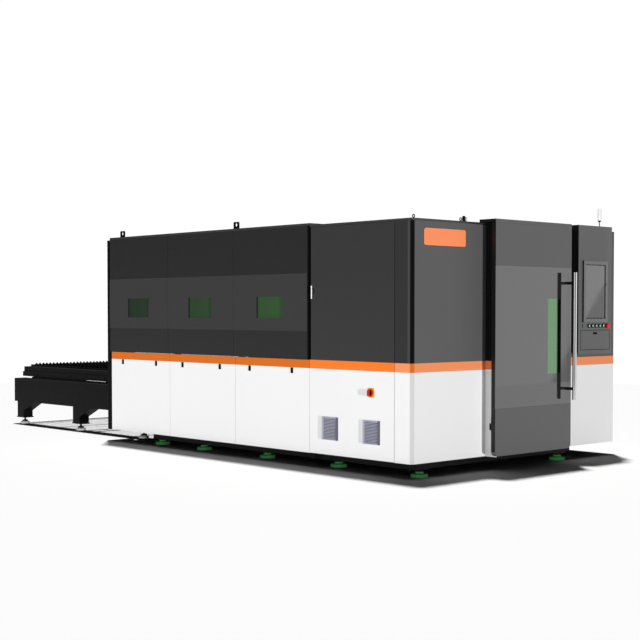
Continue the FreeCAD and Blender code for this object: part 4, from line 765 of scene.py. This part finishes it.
def isolator():
    """Mains isolator: a yellow plate with a raised round collar, and a red knob with a tapered grip."""
    low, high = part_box("isolator_plate")
    _, y, z = middle("isolator_plate")
    collar, thick = (high[1] - low[1]) / 2, high[0] - low[0]
    wide, base, boss_depth, face_depth = 0.08, thick * 0.75, 0.014, 0.016
    plate = along(soft_plate(wide, wide, base, 0.009, 0.002), "x") + (high[0] - base, y, z)
    add("isolator_base", plate, "yellow", "cabinet_door", "yellow_plastic", "isolator_plate")
    ring = turned([(collar * 0.97, 0), (collar * 0.97, thick * 0.8), (collar * 0.93, thick)], 56)
    add("isolator_collar", stand_out(ring, "x", (high[0], y, z)), "amber", "cabinet_door", "yellow_plastic")
    face = (low[0] - 0.001, y, z)
    boss = turned([(0.0315, 0), (0.033, 0.002), (0.033, 0.01), (0.029, boss_depth)], 48, 0.02, 16)
    add("isolator_boss", stand_out(boss, "x", face), "knob_red", "isolator_knob", "red_plastic",
        "isolator_knob")
    disc = turned([(0.026, 0), (0.026, face_depth - 0.0005), (0.025, face_depth)], 48)
    add("isolator_face", stand_out(disc, "x", face), "black", "isolator_knob", "red_plastic")
    depths = np.array([0, 0.3, 0.7, 0.93, 1.0]) * (face[0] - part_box("isolator_knob")[0][0])
    flat = round_outline(0.016, 0.058, 0.006)
    grip = layers([flat * share for share in (1.0, 1.0, 0.97, 0.86, 0.7)], depths)
    add("isolator_grip", stand_out(grip, "x", face), "knob_red", "isolator_knob", "red_plastic")


def lock_lever():
    """Swing lever of the cabinet lock: a turned bar, flattened, with a round knob at each end."""
    low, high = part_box("lock_lever")
    thick, r, knob, tall = 0.01, 0.0065, 0.0078, high[2] - low[2]
    profile = [(0.001, 0), (0.006, 0.002), (knob, 0.008), (0.006, 0.015), (r, 0.02), (r, tall - 0.032),
               (0.0048, tall - 0.027), (knob, tall - 0.016), (knob, tall - 0.008), (0.005, tall - 0.001)]
    bar = turned(profile, 24)
    bar[..., 0] *= thick / 2 / knob
    bar = bar + (low[0] + thick / 2, middle("lock_lever")[1], low[2])
    add("lock_swing_bar", bar, "white_enamel", "lock_lever", "white_metal", "lock_lever")


# ---------------------------------------------------------------- front
def badge_plate():
    """Bare orange plate on the front wall, with round corners, on a slightly larger dark rim."""
    left, right, low, high = BADGE
    front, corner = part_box("front_left_panel")[0][1], 0.022
    for name, more, thick in (("badge_rim", 0.0035, 0.0022), ("badge_plate", 0.0, 0.003)):
        tall, wide = high - low + 2 * more, right - left + 2 * more
        plate = along(soft_plate(tall, wide, thick, corner + more, 0.001, 10), "y")
        plate = plate + ((left + right) / 2, front - thick, (low + high) / 2)
        add(name, plate, name, "machine", "dark_grey_paint")


def hood_seal():
    """Thin strip that closes the seam between the hood and the top of the door."""
    slab_low, slab_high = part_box("door_slab")
    gap = 0.0006
    low, high = slab_high[2] + gap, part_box("door_hood")[0][2]
    strip = thin_bar(high - low, slab_high[0] - slab_low[0], 0.003)
    strip = strip + ((slab_low[0] + slab_high[0]) / 2, slab_low[1], (low + high) / 2)
    add("hood_seal", strip, "door", "machine", "dark_grey_paint")


def corner_trim():
    """Folded edge over the right chamfer: a triangle carried up the wall, from the two walls' faces."""
    side, (panel_low, panel_high) = SIDE_WALLS[1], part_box("front_right_panel")
    flat = np.array([(side - CHAMFER[0], FRONT_WALL), (side, FRONT_WALL), (side, FRONT_WALL + CHAMFER[1])])
    trim = layers((flat, flat), (panel_low[2], panel_high[2]))
    add("corner_trim", trim, "front_lit_covers", "machine", "dark_grey_paint", smooth_below=20)


def corner_shade_strip():
    """Black strip of painted shade on the left chamfer above the stripe: a flat bar, half a millimetre proud
    of the fold.
    """
    side, sunk = SIDE_WALLS[0], 0.0002
    away = np.array([-CHAMFER[1], -CHAMFER[0]]) / np.hypot(*CHAMFER)
    ends = np.array([(side, FRONT_WALL + CHAMFER[1]), (side + CHAMFER[0], FRONT_WALL)])
    flat = np.vstack([ends + away * SKIN, ends[::-1] - away * sunk])
    strip = layers((flat, flat), (STRIPE_TOP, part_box("front_left_panel")[1][2]))
    add("corner_shade_strip", strip, "black", "machine", "black_paint", smooth_below=20)


def portal_cover():
    """White and orange sheet on the lower left side of the door's box frame, up to the top of the stripe, in
    darker copies of the covers' colours: painted shade.
    """
    low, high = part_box("door_portal")
    inset, thick = 0.002, 0.001
    wide, tall = high[1] - low[1] - 2 * inset, STRIPE_TOP - low[2]
    sheet = along(soft_plate(wide, tall, thick, 0.001, 0.0003, 2), "x")
    sheet = sheet + (low[0] - thick, (low[1] + high[1]) / 2, low[2] + tall / 2)
    add("portal_cover", sheet, "shaded_covers", "machine", "white_paint")


def table_end_shade_plate():
    """Dark plate across the outer end of the exchange table, between its side beams, under the pallet: a dark
    sheet standing in for shade seen through the table.
    """
    left, right, low, high = END_SHADE_PLATE
    from_end = 0.04
    plate = along(soft_plate(high - low, right - left, 0.005, 0.004, 0.001), "y")
    plate = plate + ((left + right) / 2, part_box("exchange_table")[1][1] - from_end, (low + high) / 2)
    add("table_end_shade_plate", plate, "table", "machine", "black_paint")


def door_handle():
    """Pull handle: a long bar with flat ends on two turned spacers."""
    low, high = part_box("door_handle")
    r, post, ease, centre = (high[0] - low[0]) / 2, 0.0135, 0.001, (low + high) / 2
    bar = turned([(r - ease, low[2]), (r, low[2] + ease), (r, high[2] - ease), (r - ease, high[2])], 48)
    bar = bar + (centre[0], centre[1], 0)
    add("pull_bar", bar, "chrome", "front_door", "bright_chrome", "door_handle")
    posts = []
    for box_low, box_high in solids_at("handle_standoffs"):
        reach = box_high[1] - centre[1]
        rows = along(turned([(post, 0.006), (post, reach)], 32), "y")
        posts.append(rows + (centre[0], centre[1], (box_low[2] + box_high[2]) / 2))
    add("handle_spacers", np.concatenate(posts), "black", "front_door", "black_plastic", "handle_standoffs")


def out_of_face(profile, spot, around=40):
    """A turned form that stands out along -y from a point on a face; heights of the profile are depths."""
    return stand_out(turned(profile, around), "y", spot)


def on_face(node, face):
    """Point on a face across y, in line with the middle of a CAD node."""
    x, _, z = middle(node)
    return x, face, z


def push_buttons():
    """Domed caps on round stems, with their travel left free behind them, and dark collars that stay."""
    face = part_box("console_box")[0][1]
    collars = []
    stem, cap_radius, barrel, barrel_depth = 0.0045, 0.0104, 0.019, 0.0125
    barrel_profile = [(barrel, 0.0), (barrel, barrel_depth - 0.001), (barrel - 0.001, barrel_depth),
                      (0.0114, barrel_depth), (0.0112, 0.001)]
    for n in range(1, 6):
        name = "button_%d" % n
        depth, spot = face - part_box(name)[0][1], on_face(name, face)
        cap = out_of_face([(stem, -0.01), (stem, PUSH_ROOM), (cap_radius, PUSH_ROOM),
                           (cap_radius, depth * 0.85), (0.0096, depth * 0.96), (0.007, depth)], spot)
        add("cap_%d" % n, cap, "green", name, "green_button", name)
        collars.append(out_of_face(barrel_profile, spot))
    reach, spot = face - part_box("emergency_stop")[0][1], on_face("emergency_stop", face)
    mushroom = out_of_face([(0.0115, STOP_ROOM), (0.0115, reach * 0.42), (0.019, reach * 0.5),
                            (0.021, reach * 0.62), (0.0205, reach * 0.82), (0.016, reach * 0.96),
                            (0.008, reach)], spot, 48)
    add("stop_mushroom", mushroom, "red", "emergency_stop", "red_plastic", "emergency_stop")
    stop_collar = [(0.022, 0.0), (0.022, 0.002), (0.019, 0.0035), (0.0135, 0.0035), (0.013, 0.001)]
    collars.append(out_of_face(stop_collar, spot))
    port = [(0.006, 0.0), (0.006, 0.003), (0.005, 0.004)]
    ports = [out_of_face(port, (PORT_X, face, z)) for z in PORT_HEIGHTS]
    add("control_collars", np.concatenate(collars), "black", "machine", "black_plastic")
    add("control_ports", np.concatenate(ports), "black", "machine", "black_plastic")


def gloss_edges():
    """Dark lines along the top and the foot of the door's glossy panel."""
    low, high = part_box("door_gloss_panel")
    tall, off, sunk = 0.0035, 0.00185, 0.0004
    line = thin_bar(tall, high[0] - low[0], 0.0026)
    spots = [((low[0] + high[0]) / 2, low[1] + sunk, z) for z in (high[2] + off, low[2] - off)]
    add("gloss_edges", copies(line, spots), "black", "front_door", "gloss_black")


def flap_trim():
    """Dark seam round the keyboard flap, and a black plate in its pull slot with a black lip round it:
    painted shade of the slot.
    """
    low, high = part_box("keyboard_flap")
    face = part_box("console_box")[0][1]
    around, seam_width, lip_width, thick = 0.0005, 0.0045, 0.003, 0.0004
    seam = border(low[0] - around, high[0] + around, low[2] - around, high[2] + around, seam_width, thick)
    add("flap_seam", seam + (0, face, 0), "black", "machine", "black_plastic")
    (x, z), (tall, wide) = SLOT, SLOT_SIZE
    slot = along(soft_plate(tall, wide, 0.002, 0.0006, 0.0003, 2), "y") + (x, face + 0.001, z)
    lip = border(x - wide / 2, x + wide / 2, z - tall / 2, z + tall / 2, lip_width, thick)
    rows = np.concatenate([slot, lip + (0, face, 0)])
    add("slot_shade", rows, "black", "keyboard_flap", "black_plastic")


def screen_frame():
    """Bezel: a profile carried round a rectangle, one ring of it at each corner, and the screen's seal."""
    low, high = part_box("screen_bezel")
    inner_low, inner_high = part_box("screen_glass")
    depth = high[1] - low[1]
    inset = np.array([0, 0.0, 0.05, 0.1, 0.84, 0.92, 1.0, 1.0])
    out = np.array([0, 0.75, 0.98, 1.0, 1.0, 0.7, 0.35, 0]) * depth
    sides = ((low[0], BEZEL_RIGHT, low[2], high[2]),
             (inner_low[0], inner_high[0], inner_low[2], inner_high[2]))
    outer, inner = [np.array([(left, foot), (right, foot), (right, top), (left, top)])
                    for left, right, foot, top in sides]
    spots = outer[:, None] + (inner - outer)[:, None] * inset[None, :, None]
    points = np.stack([spots[..., 0], high[1] - out[None].repeat(4, 0), spots[..., 1]], -1)
    rows = len(inset)
    i, j = np.meshgrid(np.arange(4), np.arange(rows), indexing="ij")
    faces = np.stack([i * rows + j, ((i + 1) % 4) * rows + j, ((i + 1) % 4) * rows + (j + 1) % rows,
                      i * rows + (j + 1) % rows], -1).reshape(-1, 4)
    piece = new_piece("screen_frame", points, faces.tolist(), "bezel")
    settle(piece, "machine", "black_plastic", "screen_bezel")
    width, right_width = 0.003, 0.005
    seal = border(inner_low[0] + width, inner_high[0] - right_width, inner_low[2] + width,
                  inner_high[2] - width, width, 0.009)
    add("screen_seal", seal + (0, high[1], 0), "black", "machine", "black_plastic")


# ---------------------------------------------------------------- roof
def signal_lamp():
    """Signal lamp: a foot, a thin pole, a dark socket and a plain bright shell with a soft top."""
    low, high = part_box("signal_tower")
    spot = under([(low, high)])[0]
    foot, top, shell_low = low[2], high[2], high[2] - 0.121
    pole = turned([(0.016, foot), (0.016, foot + 0.004), (0.006, foot + 0.008),
                   (0.006, shell_low - 0.01)], 28)
    add("lamp_pole", pole + spot, "zinc", "machine", "grey_plastic", "signal_tower")
    socket = turned([(0.008, shell_low - 0.014), (0.0165, shell_low - 0.006), (0.0165, shell_low)], 36)
    add("lamp_socket", socket + spot, "black", "machine", "grey_plastic")
    shell = turned([(0.0182, shell_low), (0.0182, top - 0.004), (0.0165, top - 0.001), (0.013, top)], 40)
    add("lamp_shell", shell + spot, "lamp", "machine", "grey_plastic")


def roof_glands():
    """Black cable gland and a small pale plug beside the second ring eye, turned."""
    low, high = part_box("ring_eyes")
    y, foot = (low[1] + high[1]) / 2, low[2]
    gland = turned([(0.015, 0), (0.015, 0.012), (0.0135, 0.014), (0.0135, 0.05), (0.011, 0.053)], 28)
    add("roof_gland", gland + (GLAND_X, y, foot), "black", "machine", "black_plastic")
    plug = turned([(0.011, 0), (0.011, 0.044), (0.009, 0.046)], 28)
    add("roof_plug", plug + (PLUG_X, y, foot), "lamp", "machine", "grey_plastic")


def ring_eyes():
    """Ring eyes: a round bar bent into a ring on a turned collar."""
    boxes = solids_at("ring_eyes")
    bar, radius = 0.0045, 0.0125
    u = np.linspace(0, 2 * np.pi, 33)[:, None]
    v = np.linspace(0, 2 * np.pi, 16, endpoint=False)[None]
    torus = np.stack([(radius + bar * np.cos(v)) * np.cos(u), bar * np.sin(v) + 0 * u,
                      (radius + bar * np.cos(v)) * np.sin(u)], -1)[None, ::-1]
    rings = copies(torus, under(boxes, boxes[0][1][2] - radius - bar))
    add("eye_rings", rings, "black", "machine", "ground_steel", "ring_eyes")
    collar = turned([(radius, 0), (radius, 0.004), (0.008, 0.007), (0.006, 0.01)], 28)
    add("eye_collars", copies(collar, under(boxes, boxes[0][0][2])), "black", "machine", "ground_steel")


# ---------------------------------------------------------------- studio
def white_floor():
    """Plain pale floor, darker for light that bounces off it, so that it doesn't light the covers."""
    bpy.ops.mesh.primitive_plane_add(size=24, location=(0, 0, 0))
    floor = bpy.context.object
    floor.name = "studio_floor"
    finish, tree, shader = new_finish("floor_white")
    way = tree.nodes.new("ShaderNodeLightPath")
    seen = way.outputs["Is Camera Ray"]
    for ray in ("Is Glossy Ray", "Is Transmission Ray"):
        seen = math_node(tree, "MAXIMUM", seen, way.outputs[ray])
    tone = mix_colour(tree, seen, FLOOR_BOUNCE, FLOOR_SEEN)
    set_inputs(tree, shader, Base_Color=tone, Roughness=0.9, Specular_IOR_Level=0.0)
    floor.data.materials.append(finish)


def surround():
    """World that the camera sees as white, and that gives little light of its own.

    In reflections a zone is as bright as slope * (direction . ray - start), kept within its least and most.
    The bright wall is darker under a plane square to the slant.
    """
    world = bpy.data.worlds.new("studio_world")
    bpy.context.scene.world = world
    world.use_nodes = True
    tree = world.node_tree
    way = tree.nodes.new("ShaderNodeLightPath")
    ray = tree.nodes.new("ShaderNodeTexCoord").outputs["Generated"]

    def zone(direction, start, slope, least, most):
        gone = math_node(tree, "SUBTRACT", vector_node(tree, "DOT_PRODUCT", ray, direction), start)
        rise = math_node(tree, "MAXIMUM", math_node(tree, "MULTIPLY", gone, slope), least)
        return math_node(tree, "MINIMUM", rise, most)

    above = math_node(tree, "GREATER_THAN", vector_node(tree, "DOT_PRODUCT", ray, SLANT), 0.0)
    share = math_node(tree, "ADD", math_node(tree, "MULTIPLY", above, 1 - UNDER_SLANT), UNDER_SLANT)
    wall = math_node(tree, "MULTIPLY", zone(*BRIGHT_WALL), share)
    glossy = math_node(tree, "ADD", wall, zone(*BRIGHT_SIDE))
    level = math_node(tree, "MULTIPLY", glossy, way.outputs["Is Glossy Ray"])
    for kind in ("Is Camera Ray", "Is Transmission Ray"):
        level = math_node(tree, "ADD", level, way.outputs[kind])
    strength = math_node(tree, "ADD", level, WORLD_LIGHT)
    set_inputs(tree, tree.nodes["Background"], Color=(1, 1, 1), Strength=strength)


def suns():
    """An upright sun for the shadow, and two level ones, unseen in reflections, that fill left and front."""
    for name, (aim_at, power, spread) in SUNS.items():
        lamp = bpy.data.lights.new(name, "SUN")
        lamp.energy = power
        lamp.angle = math.radians(spread)
        item = bpy.data.objects.new(name, lamp)
        x, y, z = np.array(aim_at) / np.linalg.norm(aim_at)
        item.rotation_euler = (math.acos(-z), 0, math.atan2(y, x) - math.pi / 2)
        item.visible_glossy = name == "lamp_above"
        bpy.context.scene.collection.objects.link(item)


def camera():
    """Long lens from the front left, level with the windows."""
    view = bpy.data.cameras.new("photo_camera")
    view.lens, view.sensor_width, view.shift_y, view.clip_end = LENS, 36.0, LENS_SHIFT, 200
    item = bpy.data.objects.new("photo_camera", view)
    item.location = CAMERA_PLACE
    item.rotation_euler = (math.radians(90 - CAMERA_DROP), 0, math.radians(-CAMERA_YAW))
    bpy.context.scene.collection.objects.link(item)
    bpy.context.scene.camera = item


for make in (levelling_pads, levelling_studs, table_feet):
    make()
for pallet_name in ("outer_pallet", "inner_pallet"):
    for make in (slat_row, pallet_wheels, axle_bolts):
        make(pallet_name)
for make in (panel_latches, cabinet_vents, isolator, lock_lever, badge_plate, hood_seal, corner_trim,
             corner_shade_strip, table_end_shade_plate, door_handle, gloss_edges, portal_cover, push_buttons, flap_trim,
             screen_frame, signal_lamp, ring_eyes, roof_glands, white_floor, surround, suns, camera):
    make()
bpy.context.scene.view_settings.view_transform = "Standard"
